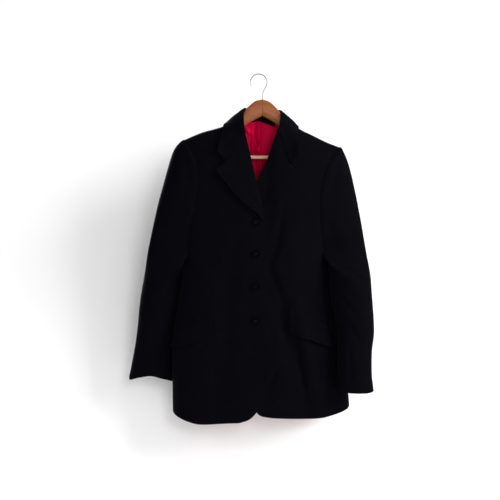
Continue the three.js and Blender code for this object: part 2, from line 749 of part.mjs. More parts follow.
function underSleeve(side) {
  const places = [];
  for (let k = 0; k < rowsHem; k += 1) {
    const row = [];
    const up = k / (rowsHem - 1);
    for (let j = 0; j < columns.underSleeve; j += 1) {
      const u = j / (columns.underSleeve - 1);
      const guess = lerp(-800, notchHeight[side], up);
      const seamAt = sleeveSeamTurn(side, guess);
      const most = seamAt + seamTurn(side, seamAt, guess);
      const turn = lerp(most, 360 - most, u);
      const cuff = sample(cuffLine[side], "turn", turn, "z");
      const top = notchHeight[side] - 18 * Math.sin(Math.PI * u);
      row.push([turn, lerp(cuff, top, up)]);
    }
    places.push(row);
  }
  const name = side === "left" ? "sleeve_under_right" : "sleeve_under_left";
  return clothOn(name, (turn, z) => sleevePoint(side, turn, z), places, wool, { stepB: 0.2 });
}

// ---- Lapels: the fronts' points along the table's rows, moved out
function lapel(side) {
  const table = lapels[side].map((row, i) => ({ ...row, at: i }));
  const rows = 15;
  const cols = 7;
  const places = [];
  for (let i = 0; i < rows; i += 1) {
    const at = (i / (rows - 1)) * (table.length - 1);
    const pick = (column) => sample(table, "at", at, column);
    const row = [];
    for (let j = 0; j < cols; j += 1) {
      const u = Math.pow(j / (cols - 1), 1.2);
      const x = lerp(pick("rollX"), pick("edgeX"), u);
      row.push([x, dropOf(x, lerp(pick("rollZ"), pick("edgeZ"), u))]);
    }
    places.push(row);
  }
  const stand = side === "left" ? 6.5 : 5;
  const lift = (up, u, x) => {
    const clear = side === "left" ? 1 : ramp(x, 0, 30);
    const bulge = 1.4 * Math.sin(Math.PI * Math.min(u * 2.2, 1)) + stand * ramp(u, 0.1, 1);
    const low = cloth + 3 * rest + clear * bulge * ramp(up, 0, 0.25);
    const gorge = collarClear + collarStand * notchAlong * u;
    return lerp(low, gorge, ramp(up, 0.72, 1));
  };
  const name = side === "left" ? "lapel_right" : "lapel_left";
  return clothOn(name, frontSurface(side), places, wool, { lift, outward: -1 });
}

// ---- Pocket flaps
function flap(side) {
  const table = flaps[side].map((row, i) => ({ ...row, at: i }));
  const rows = 6;
  const cols = 11;
  const places = [];
  for (let i = 0; i < rows; i += 1) {
    const row = [];
    for (let j = 0; j < cols; j += 1) {
      const at = (j / (cols - 1)) * (table.length - 1);
      const down = i / (rows - 1);
      const x = lerp(sample(table, "at", at, "topX"), sample(table, "at", at, "lowX"), down);
      const z = lerp(sample(table, "at", at, "topZ"), sample(table, "at", at, "lowZ"), down);
      row.push([-turnAt(side, x, z), z]);
    }
    places.push(row);
  }
  const lift = (down, u) => cloth + rest + down * (3 + 5 * u * u);
  const name = side === "left" ? "flap_right" : "flap_left";
  const surface = (turn, z) => sidePoint(side, turn, z);
  return clothOn(name, surface, places, wool, { stepB: 0.5, outward: signOf[side], lift });
}

// Moves a point out of the coat's arch until it is clear of the cloth by the given gap.
function clearOfCoat(p, gap) {
  const height = shoulderHeight(p.x);
  const face = p.y < skew * p.x ? -1 : 1;
  const arch = height - archHeight;
  const surface = onTorso(face, p.x, Math.min(arch, p.z));
  const reach = Math.abs(surface.y - skew * p.x);
  if (p.z <= arch) {
    p.y = face * Math.max(face * p.y, face * surface.y + gap);
    return p;
  }
  const across = (p.y - skew * p.x) / reach;
  const up = (p.z - arch) / archHeight;
  const away = Math.hypot(across, up);
  const size = Math.hypot((reach * across) / away, (archHeight * up) / away);
  const least = 1 + gap / size;
  if (away < least) {
    p.y = skew * p.x + (across * reach * least) / away;
    p.z = arch + (up * archHeight * least) / away;
  }
  return p;
}

// ---- Collar: stand up from the neck seam, a tight roll, and the fall over the outside
function collar() {
  const stations = collarStations.map((row, i) => ({ ...row, at: i }));
  const last = stations.length - 1;
  const count = 31;
  const foldRadius = 2.6;
  const outer = [];
  const inner = [];
  for (let i = 0; i < count; i += 1) {
    const at = (i / (count - 1)) * last;
    const pick = (what) =>
      new THREE.Vector3(
        sample(stations, "at", at, what + "X"),
        sample(stations, "at", at, what + "Y"),
        sample(stations, "at", at, what + "Z"),
      );
    const neck = pick("neck");
    const roll = pick("roll");
    const edge = pick("edge");
    const fall = edge.clone().sub(roll);
    const stand = neck.clone().sub(roll);
    const flat = stand.clone().normalize();
    const out = fall.clone().addScaledVector(flat, -fall.dot(flat)).normalize();
    const standTop = roll.clone().addScaledVector(stand, 0.25).addScaledVector(out, -foldRadius);
    const fallTop = roll.clone().addScaledVector(fall, 0.12).addScaledVector(out, foldRadius * 0.6);
    const start = neck.clone().addScaledVector(out, -foldRadius * 0.5);
    const lying = [];
    const end = at < last / 2 ? notch.left : notch.right;
    const toEnd = 1 - ramp(Math.min(at, last - at), 0, 1.3);
    for (const t of [0.3, 0.52, notchAlong, 0.86, 1]) {
      const bulge = 2.5 * Math.sin(Math.PI * t);
      const p = roll.clone().addScaledVector(fall, t).addScaledVector(out, bulge);
      const bend = t < notchAlong ? t / notchAlong : (1 - t) / (1 - notchAlong);
      p.x += toEnd * bend * (end.x - lerp(roll.x, edge.x, notchAlong));
      p.z += toEnd * bend * (end.z - lerp(roll.z, edge.z, notchAlong));
      lying.push(clearOfCoat(p, collarClear + collarStand * t));
    }
    const curve = new THREE.CatmullRomCurve3([start, standTop, roll, fallTop, ...lying]);
    const run = new THREE.CatmullRomCurve3([stationAlong(at - 0.05), stationAlong(at + 0.05)]);
    const forward = run.getTangent(0.5);
    const outerRow = [];
    const innerRow = [];
    for (const t of [0, 0.1, 0.17, 0.22, 0.26, 0.31, 0.375, 0.5, 0.625, 0.75, 0.875, 1]) {
      const p = curve.getPoint(t);
      const normal = curve.getTangent(t).cross(forward).normalize();
      outerRow.push(p.clone().addScaledVector(normal, cloth / 2));
      innerRow.push(p.clone().addScaledVector(normal, -cloth / 2));
    }
    outer.push(outerRow);
    inner.push(innerRow);
  }
  function stationAlong(at) {
    const place = Math.min(Math.max(at, 0), last);
    const xyz = ["rollX", "rollY", "rollZ"].map((c) => sample(stations, "at", place, c));
    return new THREE.Vector3().fromArray(xyz);
  }
  return wall("collar", outer, inner, wool);
}

// ---- Back lining and label
function lining(side) {
  const sign = signOf[side];
  const rows = 11;
  const cols = 11;
  const lowest = -330;
  const reach = 92;
  const start = side === "left" ? 3 : 12;
  const places = [];
  for (let i = 0; i < rows; i += 1) {
    const row = [];
    for (let j = 0; j < cols; j += 1) {
      const x = side === "left" ? lerp(-start, -reach, j / (cols - 1)) : lerp(-start, reach, j / (cols - 1));
      const collarLine = sample(neckBack, "x", Math.abs(x), "z") - 6;
      const high = Math.min(collarLine, shoulderHeight(x) - 16);
      row.push([x, dropOf(x, lerp(lowest, high, i / (rows - 1)))]);
    }
    places.push(row);
  }
  const lift = (up, u, x) => {
    const lay = -(cloth + satin) / 2 - rest;
    if (side === "right") return lay - 2.2 * ramp(x, -9, 12);
    return lay - 0.5 - 2.1 * (1 - ramp(-x, 60, 92)) - 4 * (1 - ramp(-x, 3, 30));
  };
  const name = side === "left" ? "lining_back_right" : "lining_back_left";
  return clothOn(name, (x, drop) => torsoPoint(1, x, drop), places, crimson, { thick: satin, lift });
}

function label() {
  const places = [];
  for (const t of [0, 0.5, 1]) {
    const row = [];
    for (let j = 0; j < 6; j += 1) {
      const x = lerp(-17, 27, j / 5);
      row.push([x, dropOf(x, lerp(-133, -119.5, t) - 0.08 * x)]);
    }
    places.push(row);
  }
  const lift = () => -10.4;
  return clothOn("neck_label", (x, drop) => torsoPoint(1, x, drop), places, labelCloth, { thick: satin, lift });
}

// ---- Buttons: a rimmed disc, facing out
function button(i) {
  const high = buttonHeights[i];
  const profile = [
    [0, 0],
    [7.6, 0],
    [9.1, 0.9],
    [9.5, 2.2],
    [8.9, 3.6],
    [7.7, 4],
    [6.2, 3],
    [0, 2.6],
  ].map(([r, h]) => new THREE.Vector2((r * buttonRadius) / 9.5, h));
  const mesh = new THREE.Mesh(new THREE.LatheGeometry(profile, 20), horn);
  let y = Infinity;
  for (const dx of [-buttonRadius, 0, buttonRadius]) {
    for (const dz of [-buttonRadius, 0, buttonRadius]) {
      y = Math.min(y, onTorso(-1, buttonX + dx, high + dz).y);
    }
  }
  mesh.rotation.x = Math.PI;
  mesh.position.set(buttonX, y - cloth / 2 - rest, high);
  mesh.name = `button_${i + 1}`;
  return mesh;
}

// ---- Hanger
// One arm: upright rounded sections from the middle joint to the tip, with the bar's socket.
function arm(side) {
  const table = hangerArm[side];
  const sign = signOf[side];
  const socket = barSocket[side];
  const tip = table[table.length - 1].x;
  const stops = [0.15, 8, 18, 28, 38, 48, 58, 70, 84, 100, 120, 140, socket - 0.4, socket, socket + 8];
  stops.push(socket + barSocket.reach, tip - 3, tip);
  const ringPoints = 12;
  const rings = stops.map((x) => {
    const underCloth = shoulderHeight(sign * x) - cloth / 2 - 2 * rest;
    const crown = sample(table, "x", x, "top");
    const top = x < 72 ? crown : Math.min(crown, underCloth);
    const plain = sample(table, "x", x, "low");
    const inSocket = x >= socket ? 1 - ramp(x, socket + barSocket.reach * 0.6, tip + 4) : 0;
    const low = lerp(plain, -barSocket.drop, inSocket);
    const shrink = 1 - 0.55 * Math.pow(ramp(x, tip - 7, tip), 2);
    const middle = (top + low) / 2 - (1 - shrink) * 2;
    const ring = [];
    for (let i = 0; i < ringPoints; i += 1) {
      const a = (i / ringPoints) * 2 * Math.PI;
      const soft = (v) => Math.sign(v) * Math.pow(Math.abs(v), 0.7);
      const y = ((armThickness / 2) * shrink * soft(Math.cos(a)));
      ring.push(new THREE.Vector3(sign * x, y, middle + ((top - low) / 2) * shrink * soft(Math.sin(a))));
    }
    return ring;
  });
  return loft(side === "left" ? "hanger_arm_right" : "hanger_arm_left", rings, beech);
}

// A closed solid through rings with the same number of points, ends closed by fans.
function loft(name, rings, material) {
  const n = rings[0].length;
  const positions = [];
  for (const ring of rings) for (const p of ring) positions.push(p.x, p.y, p.z);
  const index = [];
  for (let r = 0; r < rings.length - 1; r += 1) {
    for (let i = 0; i < n; i += 1) {
      const next = (i + 1) % n;
      const a = r * n + i;
      const b = r * n + next;
      index.push(a, b, b + n, a, b + n, a + n);
    }
  }
  for (const [r, turned] of [
    [0, true],
    [rings.length - 1, false],
  ]) {
    const middle = new THREE.Vector3();
    for (const p of rings[r]) middle.addScaledVector(p, 1 / n);
    const hub = positions.length / 3;
    positions.push(middle.x, middle.y, middle.z);
    for (let i = 0; i < n; i += 1) {
      const a = r * n + i;
      const b = r * n + ((i + 1) % n);
      if (turned) index.push(hub, b, a);
      else index.push(hub, a, b);
    }
  }
  return solid(name, positions, index, material);
}

function bar() {
  const from = -barSocket.left + rest;
  const to = barSocket.right - rest - 0.4;
  const mesh = new THREE.Mesh(new THREE.CylinderGeometry(barRadius, barRadius, to - from, 16), pine);
  mesh.rotation.z = Math.PI / 2;
  mesh.position.set((from + to) / 2, 0, barHeight);
  mesh.name = "trouser_bar";
  return mesh;
}

// The hook: a stem out of the wood, then a bow whose inner top is the origin.
function hook() {
  const centre = { x: -stemOffset, z: -hookRadius + wireRadius };
  const points = [
    [0, hangerArm.left[0].top + rest],
    [0, -55],
    [1.4, -47],
    [4.6, -39.5],
  ];
  for (let a = -30; a <= 205; a += 15) {
    const x = centre.x + hookRadius * Math.cos(radians(a));
    points.push([x, centre.z + hookRadius * Math.sin(radians(a))]);
  }
  const path = new THREE.CatmullRomCurve3(points.map(([x, z]) => new THREE.Vector3(x, 0, z)));
  const section = new THREE.Shape().absarc(0, 0, wireRadius, 0, 2 * Math.PI);
  const options = { steps: 44, curveSegments: 4, extrudePath: path, bevelEnabled: false };
  const mesh = new THREE.Mesh(new THREE.ExtrudeGeometry(section, options), steel);
  mesh.name = "hook";
  return mesh;
}

// ---- The part
const coat = new THREE.Group();
for (const side of ["left", "right"]) {
  coat.add(front(side), sideBody(side), back(side), topSleeve(side), underSleeve(side));
  coat.add(lapel(side), flap(side), lining(side));
}
coat.add(collar(), label());
for (let i = 0; i < buttonHeights.length; i += 1) coat.add(button(i));

const hanger = new THREE.Group();
hanger.add(arm("left"), arm("right"), bar());
hanger.rotation.z = Math.atan(skew);

const jacket = new THREE.Group();
jacket.add(coat, hanger, hook());
jacket.position.x = stemOffset;

export default jacket;
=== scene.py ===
# A women's riding jacket of near-black wool, lined in crimson satin, on a wooden hanger with a bar.
# Lengths are in mm from the hanger's middle joint until a mesh is made; z is up and the front faces -y.
# "left" and "right" in tables are the viewer's, from the front; piece names have the wearer's.
import json
import math

import bpy
import numpy as np
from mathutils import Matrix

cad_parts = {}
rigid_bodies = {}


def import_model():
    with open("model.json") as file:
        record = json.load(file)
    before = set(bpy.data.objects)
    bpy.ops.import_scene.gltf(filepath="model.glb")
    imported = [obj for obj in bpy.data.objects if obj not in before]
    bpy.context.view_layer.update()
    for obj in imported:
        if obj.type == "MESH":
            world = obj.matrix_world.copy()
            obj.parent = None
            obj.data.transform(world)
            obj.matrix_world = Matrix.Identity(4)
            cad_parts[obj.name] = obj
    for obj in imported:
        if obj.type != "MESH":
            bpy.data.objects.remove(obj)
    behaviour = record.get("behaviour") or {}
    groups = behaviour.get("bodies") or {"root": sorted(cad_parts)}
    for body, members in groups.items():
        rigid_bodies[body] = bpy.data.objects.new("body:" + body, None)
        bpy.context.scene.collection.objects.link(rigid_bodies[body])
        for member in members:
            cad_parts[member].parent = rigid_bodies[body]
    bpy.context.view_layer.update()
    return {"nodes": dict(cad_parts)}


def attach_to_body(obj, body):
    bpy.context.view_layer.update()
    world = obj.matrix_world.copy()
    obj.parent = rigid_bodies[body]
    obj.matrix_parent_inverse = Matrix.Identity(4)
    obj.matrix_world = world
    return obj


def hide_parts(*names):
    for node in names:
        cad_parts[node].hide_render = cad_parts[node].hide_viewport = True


for old in list(bpy.data.objects):
    bpy.data.objects.remove(old)
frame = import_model()
print("frame loaded:", len(frame["nodes"]), "nodes")

make = {
    "stemOffset": 9.5,  # the middle joint stands this far to +x of the hook's top
    "cloth": 2.0,  # thickness of the wool, and of the satin
    "satin": 1.2,
    "pressed": 0.75,  # rounding of every cut edge
    "seam": -0.2,  # room between the edges at a seam; below 0 the rounded edges meet in a groove
    "armholeGap": -0.3,  # the same around the armholes
    "rest": 0.3,  # what lies on another piece clears it by this
    "squareness": 2.4,  # exponent of the body's section, 2 is an ellipse
    "archHeight": 90.0,  # the cloth arches over the hanger within this height
    "skew": 0.06,  # the coat hangs turned: its middle plane is y = skew x
    "notch": {"left": -448.0, "right": -454.0},  # height of the armholes' lowest points, and their x
    "notchAt": {"left": -196.5, "right": 165.5},
    "notchWool": 30.0,  # the inside is wool all round them, this far
    "tip": {"left": -172.6, "right": -188.9},  # height of the armholes' highest points
    "allowance": 8.0,  # width of wool turned in at every seam
    "waist": (-620, -540),  # heights between which it fades out
}

torso = {
    "z": [-930, -860, -790, -700, -640, -570, -500, -450, -390, -320, -230, -80],
    "left": [231, 231, 231, 232, 225, 214, 203, 204, 216, 228, 243, 252],
    "right": [226, 226, 219, 207, 196, 183, 173, 172, 188, 210, 236, 248],
    "front": [60, 60, 60, 60, 58, 55, 54, 54, 54, 54, 48, 42],
    "back": [54, 54, 54, 53, 51, 47, 45, 45, 44, 43, 40, 38],
}

shoulderLine = {
    "left": {
        "x": [0, 40, 72, 100, 158, 206, 240],
        "z": [-84, -98, -119, -136, -153.6, -175, -196],
    },
    "right": {
        "x": [0, 40, 72, 100, 127, 170, 203, 240],
        "z": [-84, -101, -124, -143.5, -156.5, -177, -190, -212],
    },
}

hemLine = {
    "left": {
        "turn": [-90, -75, -50, -35, -19, 0, 40, 90],
        "z": [-894, -896, -900, -892, -881, -870, -878, -886],
    },
    "right": {
        "turn": [-90, -86, -66, -51, -34, -18, 0, 40, 90],
        "z": [-880, -884, -887, -885.5, -877, -869, -861, -870, -883],
    },
}

frontEdge = {
    "left": {
        "z": [-895.6, -889, -880, -868, -852, -822, -765, -693, -618, -547, -474, -385, -329, -291, -219,
              -165, -148, -132, -119],
        "x": [58, 38, 25, 15, 7, 1, -3, -4.5, -6, -4.5, -1.5, -1, 3, 14.5, 32, 45, 54, 64, 72],
    },
    "right": {
        "z": [-884.4, -880, -870, -857, -838, -808, -765, -550, -345, -290, -257, -219, -175, -158, -145,
              -134, -124],
        "x": [24, -2, -15, -26, -33, -37, -38, -38, -38, -15.7, -1.5, 16.4, 32, 39, 50, 62, 72],
    },
}

sideSeam = {
    "left": {
        "z": [-930, -700, -591, -531, -480, -448, -430, -386, -323, -270, -226, -200, -173.5],
        "x": [132, 131, 129, 146, 176, 194, 193, 184, 171, 167, 172, 184, 200],
    },
    "right": {
        "z": [-930, -700, -591, -531, -480, -454, -396, -323, -265, -216, -189],
        "x": [122, 118, 114, 125, 148, 158, 150, 148, 157, 179, 200],
    },
}

neckBack = {
    "x": [0, 30, 55, 72],
    "z": [-111.5, -112.5, -115.5, -121.5],
}

sleeves = {
    "left": {
        "z": [-830, -786, -767, -716, -683, -638, -590, -534, -490, -448],
        "outer": [352, 347, 343, 333, 328, 323, 318, 309, 301, 293],
        "inner": [228, 228, 229, 229, 226, 220, 213, 207, 206.5, 208],
        "y": [26, 25, 25, 25, 24, 22, 20, 17, 12, 2],
        "deep": [26, 28, 29, 31, 32, 34, 35, 36, 37, 38],
    },
    "right": {
        "z": [-850, -814, -776, -716, -672, -638, -564, -508, -454],
        "outer": [284, 283, 279, 279, 285, 285, 280, 277, 269],
        "inner": [191, 190, 191, 193, 193, 189, 179, 176.5, 176],
        "y": [-46, -46, -45, -42, -38, -35, -28, -20, -6],
        "deep": [23, 24, 25, 27, 29, 31, 34, 36, 38],
    },
}

sleeveHead = {
    "left": {
        "z": [-448, -410, -338, -283, -227, -203, -190, -181, -175.5, -173.5],
        "x": [293, 285, 269, 254, 238, 230, 223, 215, 207, 204],
    },
    "right": {
        "z": [-454, -338, -277, -232, -208, -196, -191, -189],
        "x": [269, 248, 235, 223.5, 215, 209, 205.5, 204],
    },
}

cuffLine = {
    "left": {
        "turn": [-90, 0, 20, 62, 90, 120, 180, 270],
        "z": [-776, -788, -794, -786, -782, -790, -799, -776],
    },
    "right": {
        "turn": [-90, 0, 30, 60, 120, 180, 270],
        "z": [-812, -814, -818, -820, -818, -812, -812],
    },
}

lapels = {
    "left": {
        "rollX": [0.5, -1, -8.5, -17, -26.5, -33, -39.5, -45.5],
        "rollZ": [-377, -350, -315, -281, -243, -215, -188, -166],
        "edgeX": [1, -10.5, -39, -69, -99, -117, -104, -92],
        "edgeZ": [-383, -366, -344, -316, -280, -254, -243, -231],
    },
    "right": {
        "rollX": [-37, -28, -19, -7.5, 3.5, 16.4, 28, 38.5],
        "rollZ": [-344, -318, -298, -271, -247, -219, -187, -161],
        "edgeX": [-36.5, -17, 5, 33, 60, 86.7, 79.5, 72.3],
        "edgeZ": [-350, -347, -341.6, -324, -297.5, -268, -252.5, -238],
    },
}

flaps = {
    "left": {
        "topX": [-128, -150, -184, -208],
        "topZ": [-613, -621, -634, -644],
        "lowX": [-127, -146, -190, -229],
        "lowZ": [-667, -679, -698, -705],
    },
    "right": {
        "topX": [69, 90, 128, 160],
        "topZ": [-605, -613, -629, -642],
        "lowX": [70, 84, 124, 177],
        "lowZ": [-665, -674, -688, -707],
    },
}

folds = [
    {"width": (30, 15),
     "z": [-860, -805, -754, -685, -640, -586, -540, -490, -450, -405, -340],
     "x": [108, 98, 88, 74, 55, 42, 27, 20, 29, 40, 49],
     "deep": [2.5, 6, 8, 8.5, 9.5, 6.5, 5, 4, 4, 3, 0]},
    {"width": (16, 16),
     "z": [-880, -760, -640, -520, -440],
     "x": [150, 128, 96, 84, 80],
     "deep": [-2, -5, -5, -2, 0]},
    {"width": (30, 30),
     "z": [-890, -760, -600, -440],
     "x": [-120, -100, -84, -80],
     "deep": [3, 5, 4, 0]},
]

backFolds = [
    {"width": (26, 26),
     "z": [-885, -700, -520],
     "x": [-110, -95, -85],
     "deep": [-7, -4, 0]},
    {"width": (26, 26),
     "z": [-885, -690, -520],
     "x": [105, 90, 80],
     "deep": [-7, -5, 0]},
]

hangerArm = {
    "left": {
        "x": [0, 20, 41, 56, 72, 100, 158, 192],
        "top": [-64.4, -70, -88.5, -109, -124, -130, -130, -130],
        "low": [-107.5, -118, -130, -142, -153, -165, -183, -196],
    },
    "right": {
        "x": [0, 20, 41, 56, 72, 100, 127, 170, 190],
        "top": [-64.4, -71.5, -91.5, -112, -130, -138, -138, -138, -138],
        "low": [-107.5, -118, -132, -145, -157, -171, -183, -202, -208],
    },
}

collarStations = {
    "neckX": [-43, -57, -65, -69, -62, -40, 0, 40, 62, 69, 65, 51, 36],
    "neckY": [-32, -28, -13, 0, 15, 23, 27, 26, 21, 4, -7, -24, -28],
    "neckZ": [-157, -136, -121, -113, -111, -110, -109, -111, -114, -118, -126, -140, -152],
    "rollX": [-46, -48, -49, -47, -43, -29, 0, 30, 45, 49, 48, 44, 39],
    "rollY": [-51, -41, -20, 2, 18, 30, 34, 32, 22, 6, -21, -38, -45.5],
    "rollZ": [-159, -134, -107, -88.5, -85, -84, -84, -86, -90, -94.5, -116, -138, -154],
    "edgeX": [-114.5, -112, -104, -97, -91, -56, 0, 56, 91, 94, 93, 92, 90],
    "edgeY": [-60, -54, -36, -4, 32, 44, 48, 48, 40, 5, -34, -50, -56],
    "edgeZ": [-207, -186, -154, -129, -137, -139, -139, -142, -142, -134.5, -158, -190, -221],
}

# curves, and the shell of the body that the coat hangs on

signOf = {"left": -1, "right": 1}
wearerOf = {"left": "Right", "right": "Left"}  # pieces are named for the wearer's own sides


def sample(table, by, at, column):
    # cubic pieces through a table's rows with the neighbours' mean slope, held at both ends
    t, v = np.array(table[by], float), np.array(table[column], float)
    if t[-1] < t[0]:
        t, v = t[::-1], v[::-1]
    slope = np.empty(len(t))
    slope[1:-1] = (v[2:] - v[:-2]) / (t[2:] - t[:-2])
    slope[0], slope[-1] = (v[1] - v[0]) / (t[1] - t[0]), (v[-1] - v[-2]) / (t[-1] - t[-2])
    place = np.clip(at, t[0], t[-1])
    i = np.clip(np.searchsorted(t, place, side="right") - 1, 0, len(t) - 2)
    span = t[i + 1] - t[i]
    s = (place - t[i]) / span
    bend = s * s * (3 - 2 * s)
    ease = s * (1 - s) ** 2 * slope[i] + s * s * (s - 1) * slope[i + 1]
    return v[i] + (v[i + 1] - v[i]) * bend + ease * span


def sampleRows(table, at, column):
    # the same curve by the number of the row, counted from 0
    return sample({"row": range(len(table[column])), column: table[column]}, "row", at, column)


def ramp(at, start, end):
    # 0 before start, 1 after end, and 3 t^2 - 2 t^3 between
    t = np.clip((at - start) / (end - start), 0, 1)
    return t * t * (3 - 2 * t)


def lerp(a, b, t):
    # straight from a at t = 0 to b at t = 1
    return a + (b - a) * t


def grid3(x, y, z):
    # points from three coordinates that share one grid
    return np.stack(np.broadcast_arrays(x, y, z), -1)


def bySide(x, left, right):
    # left where x is below 0, else right
    return np.where(x < 0, left, right)


def shoulderHeight(x):
    # the shoulder line of the side that x is on, by its distance from the middle
    left, right = (sample(shoulderLine[side], "x", np.abs(x), "z") for side in signOf)
    return bySide(x, left, right)


def bodyDepth(face, z):
    # distance of the front (face -1) or the back (face 1) from the middle plane
    return np.where(face < 0, sample(torso, "z", z, "front"), sample(torso, "z", z, "back"))


def foldDepth(table, x, z):
    # sum over folds of depth(z) exp(-((x - x(z)) / width)^2), faded at both ends; width has both flanks
    total = np.zeros(np.broadcast(x, z).shape)
    for fold in table:
        low, high = fold["z"][0], fold["z"][-1]
        fade = ramp(z, low - 40, low) * (1 - ramp(z, high, high + 10))
        away = x - sample(fold, "z", z, "x")
        away = away / bySide(away, *fold["width"])
        total = total + fade * sample(fold, "z", z, "deep") * np.exp(-away * away)
    return total


def bodyFold(face, x, z):
    # the folds of one face, in the sense of y
    return np.where(face < 0, foldDepth(folds, x, z), -foldDepth(backFolds, x, z))


def dropOf(x, z):
    # way down the shell: 0 on the shoulder line, 1 where the arch ends, from there height over quarter arches
    h = np.maximum((shoulderHeight(x) - z) / make["archHeight"], 0)
    return np.where(h < 1, np.arccos(np.clip(1 - h, -1, 1)) / (np.pi / 2), 1 + (h - 1) / (np.pi / 2))


def torsoPoint(face, x, drop):
    # y = skew x -+ depth (1 - (x / w)^n)^(1/n) sin(arch), plus the folds
    arch = np.minimum(drop, 1) * np.pi / 2
    h = np.where(drop < 1, 1 - np.cos(arch), 1 + (drop - 1) * np.pi / 2)
    z = shoulderHeight(x) - make["archHeight"] * h
    n = make["squareness"]
    wide = bySide(x, sample(torso, "z", z, "left"), sample(torso, "z", z, "right"))
    across = np.minimum(np.abs(x) / wide, 1)
    deep = face * bodyDepth(face, z) * (1 - across**n) ** (1 / n) + bodyFold(face, x, z)
    return grid3(x, make["skew"] * x + deep * np.sin(arch), z)


def onTorso(face, x, z):
    # the same point by its height
    return torsoPoint(face, x, dropOf(x, z))


def sidePoint(side, turn, z):
    # the same section by its turn round the body, -90 front, 0 side, 90 back:
    # x = w cos^(2/n), y = depth sin^(2/n)
    n = make["squareness"]
    cos, sin = np.maximum(np.cos(np.radians(turn)), 0), np.sin(np.radians(turn))
    x = signOf[side] * sample(torso, "z", z, side) * cos ** (2 / n)
    face = np.where(turn < 0, -1, 1)
    y = make["skew"] * x + face * bodyDepth(face, z) * np.abs(sin) ** (2 / n) + bodyFold(face, x, z)
    return grid3(x, y, z)


def turnAt(side, x, z):
    # turn = arccos((x / w)^(n/2)), the way back from x
    across = np.minimum(np.abs(x) / sample(torso, "z", z, side), 1)
    return np.degrees(np.arccos(across ** (make["squareness"] / 2)))


def seamX(side, z):
    # distance of the side seam, and above it the armhole, from x = 0
    return sample(sideSeam[side], "z", z, "x")


# creases and small unevenness, all measured along the outward normal

creaseMake = {
    "fadeIn": (-0.12, 0.3),  # in shares of the crease's length
    "fadeOut": (0.62, 1.12),
    "widens": (0.75, 0.5),  # width at its start, and what it gains to its end
    "lip": 0.45,  # height of the lip beside it, in shares of its depth
    "lipAway": 1.8,  # and its place, in widths
    "puckerHigh": 0.28,
    "puckerPitch": 15.0,
    "puckerReach": 9.0,
}


def creaseField(table, a, b):
    # sum of troughs -deep exp(-(away / width)^2) with a lip beside them, along bowed lines
    total = np.zeros(np.broadcast(a, b).shape)
    for fromA, fromB, toA, toB, width, deep, bow in table:
        da, db = toA - fromA, toB - fromB
        length = math.hypot(da, db)
        along = ((a - fromA) * da + (b - fromB) * db) / length**2
        away = ((a - fromA) * db - (b - fromB) * da) / length - 4 * bow * along * (1 - along)
        fade = ramp(along, *creaseMake["fadeIn"]) * (1 - ramp(along, *creaseMake["fadeOut"]))
        wide = width * (creaseMake["widens"][0] + creaseMake["widens"][1] * np.clip(along, 0, 1))
        lip = creaseMake["lip"] * np.exp(-(((away - creaseMake["lipAway"] * wide) / wide) ** 2))
        total = total - deep * fade * (np.exp(-((away / wide) ** 2)) - lip)
    return total


def uneven(a, b, high):
    # products of sines of three uneven lengths in mm, so that a panel is never quite flat
    one = np.sin(a / 31 + 1.3 * np.sin(b / 57)) * np.sin(b / 43 + 0.7)
    two = np.sin(a / 17 - b / 71 + 2.1) * np.sin(b / 29 + a / 90)
    three = np.sin(b / 11 + 2 * np.sin(a / 23)) * np.sin(a / 13 + 0.4)
    return high * (0.62 * one + 0.3 * two + 0.12 * three)


def lengths(points, axis):
    # running length along one direction of the grid
    step = np.linalg.norm(np.diff(points, axis=axis), axis=-1)
    start = np.zeros_like(np.take(step, [0], axis=axis))
    return np.concatenate([start, np.cumsum(step, axis=axis)], axis=axis)


def pucker(points, near, high=creaseMake["puckerHigh"]):
    # small gathers down a seam, high sin(2 pi s / pitch) exp(-near / reach), and none on the seam itself
    along = lengths(points, 0)
    waves = np.sin(2 * np.pi * along / creaseMake["puckerPitch"] + 1.7 * np.sin(along / 37))
    return high * waves * np.exp(-near / creaseMake["puckerReach"]) * ramp(near, 0, 2)


def edgeDistance(points, sides):
    # distance in mm to the nearest of the named sides: first, last (rows), left, right (columns)
    down, across = lengths(points, 0), lengths(points, 1)
    gaps = {"first": down, "last": down[-1:] - down, "left": across, "right": across[:, -1:] - across}
    return np.minimum.reduce([gaps[side] for side in sides] + [np.full(down.shape, 500.0)])


def unit(v):
    # the same arrows, each of length 1
    return v / np.maximum(np.linalg.norm(v, axis=-1, keepdims=True), 1e-9)


def gridNormals(points, away):
    # cross product of both directions, turned to the side that away points to
    n = unit(np.cross(np.gradient(points, axis=1), np.gradient(points, axis=0)))
    return n if (n * away).sum() > 0 else -n


def raised(points, away, lift):
    # every point moved by lift along the normal
    return points + gridNormals(points, away) * lift[..., None]


# materials


def setOrLink(tree, socket, value):
    # a plain value is set on the socket, and a node's output is linked to it
    if isinstance(value, (int, float, tuple)):
        socket.default_value = value
    else:
        tree.links.new(value, socket)


def connect(tree, sockets, **values):
    # sockets by their names, with _ for a space
    for key, value in values.items():
        setOrLink(tree, sockets[key.replace("_", " ")], value)


def add(tree, kind, settings=None, **values):
    # a node with its own settings, and values for its inputs
    node = tree.nodes.new(kind)
    for key, value in (settings or {}).items():
        setattr(node, key, value)
    connect(tree, node.inputs, **values)
    return node


def calc(tree, operation, a, b=0.0):
    # one step of arithmetic on a and b
    node = add(tree, "ShaderNodeMath", {"operation": operation})
    setOrLink(tree, node.inputs[0], a)
    setOrLink(tree, node.inputs[1], b)
    return node.outputs[0]


def plus(tree, a, b):
    # a + b, and below it a - b and a b
    return calc(tree, "ADD", a, b)


def minus(tree, a, b):
    return calc(tree, "SUBTRACT", a, b)


def times(tree, a, b):
    return calc(tree, "MULTIPLY", a, b)


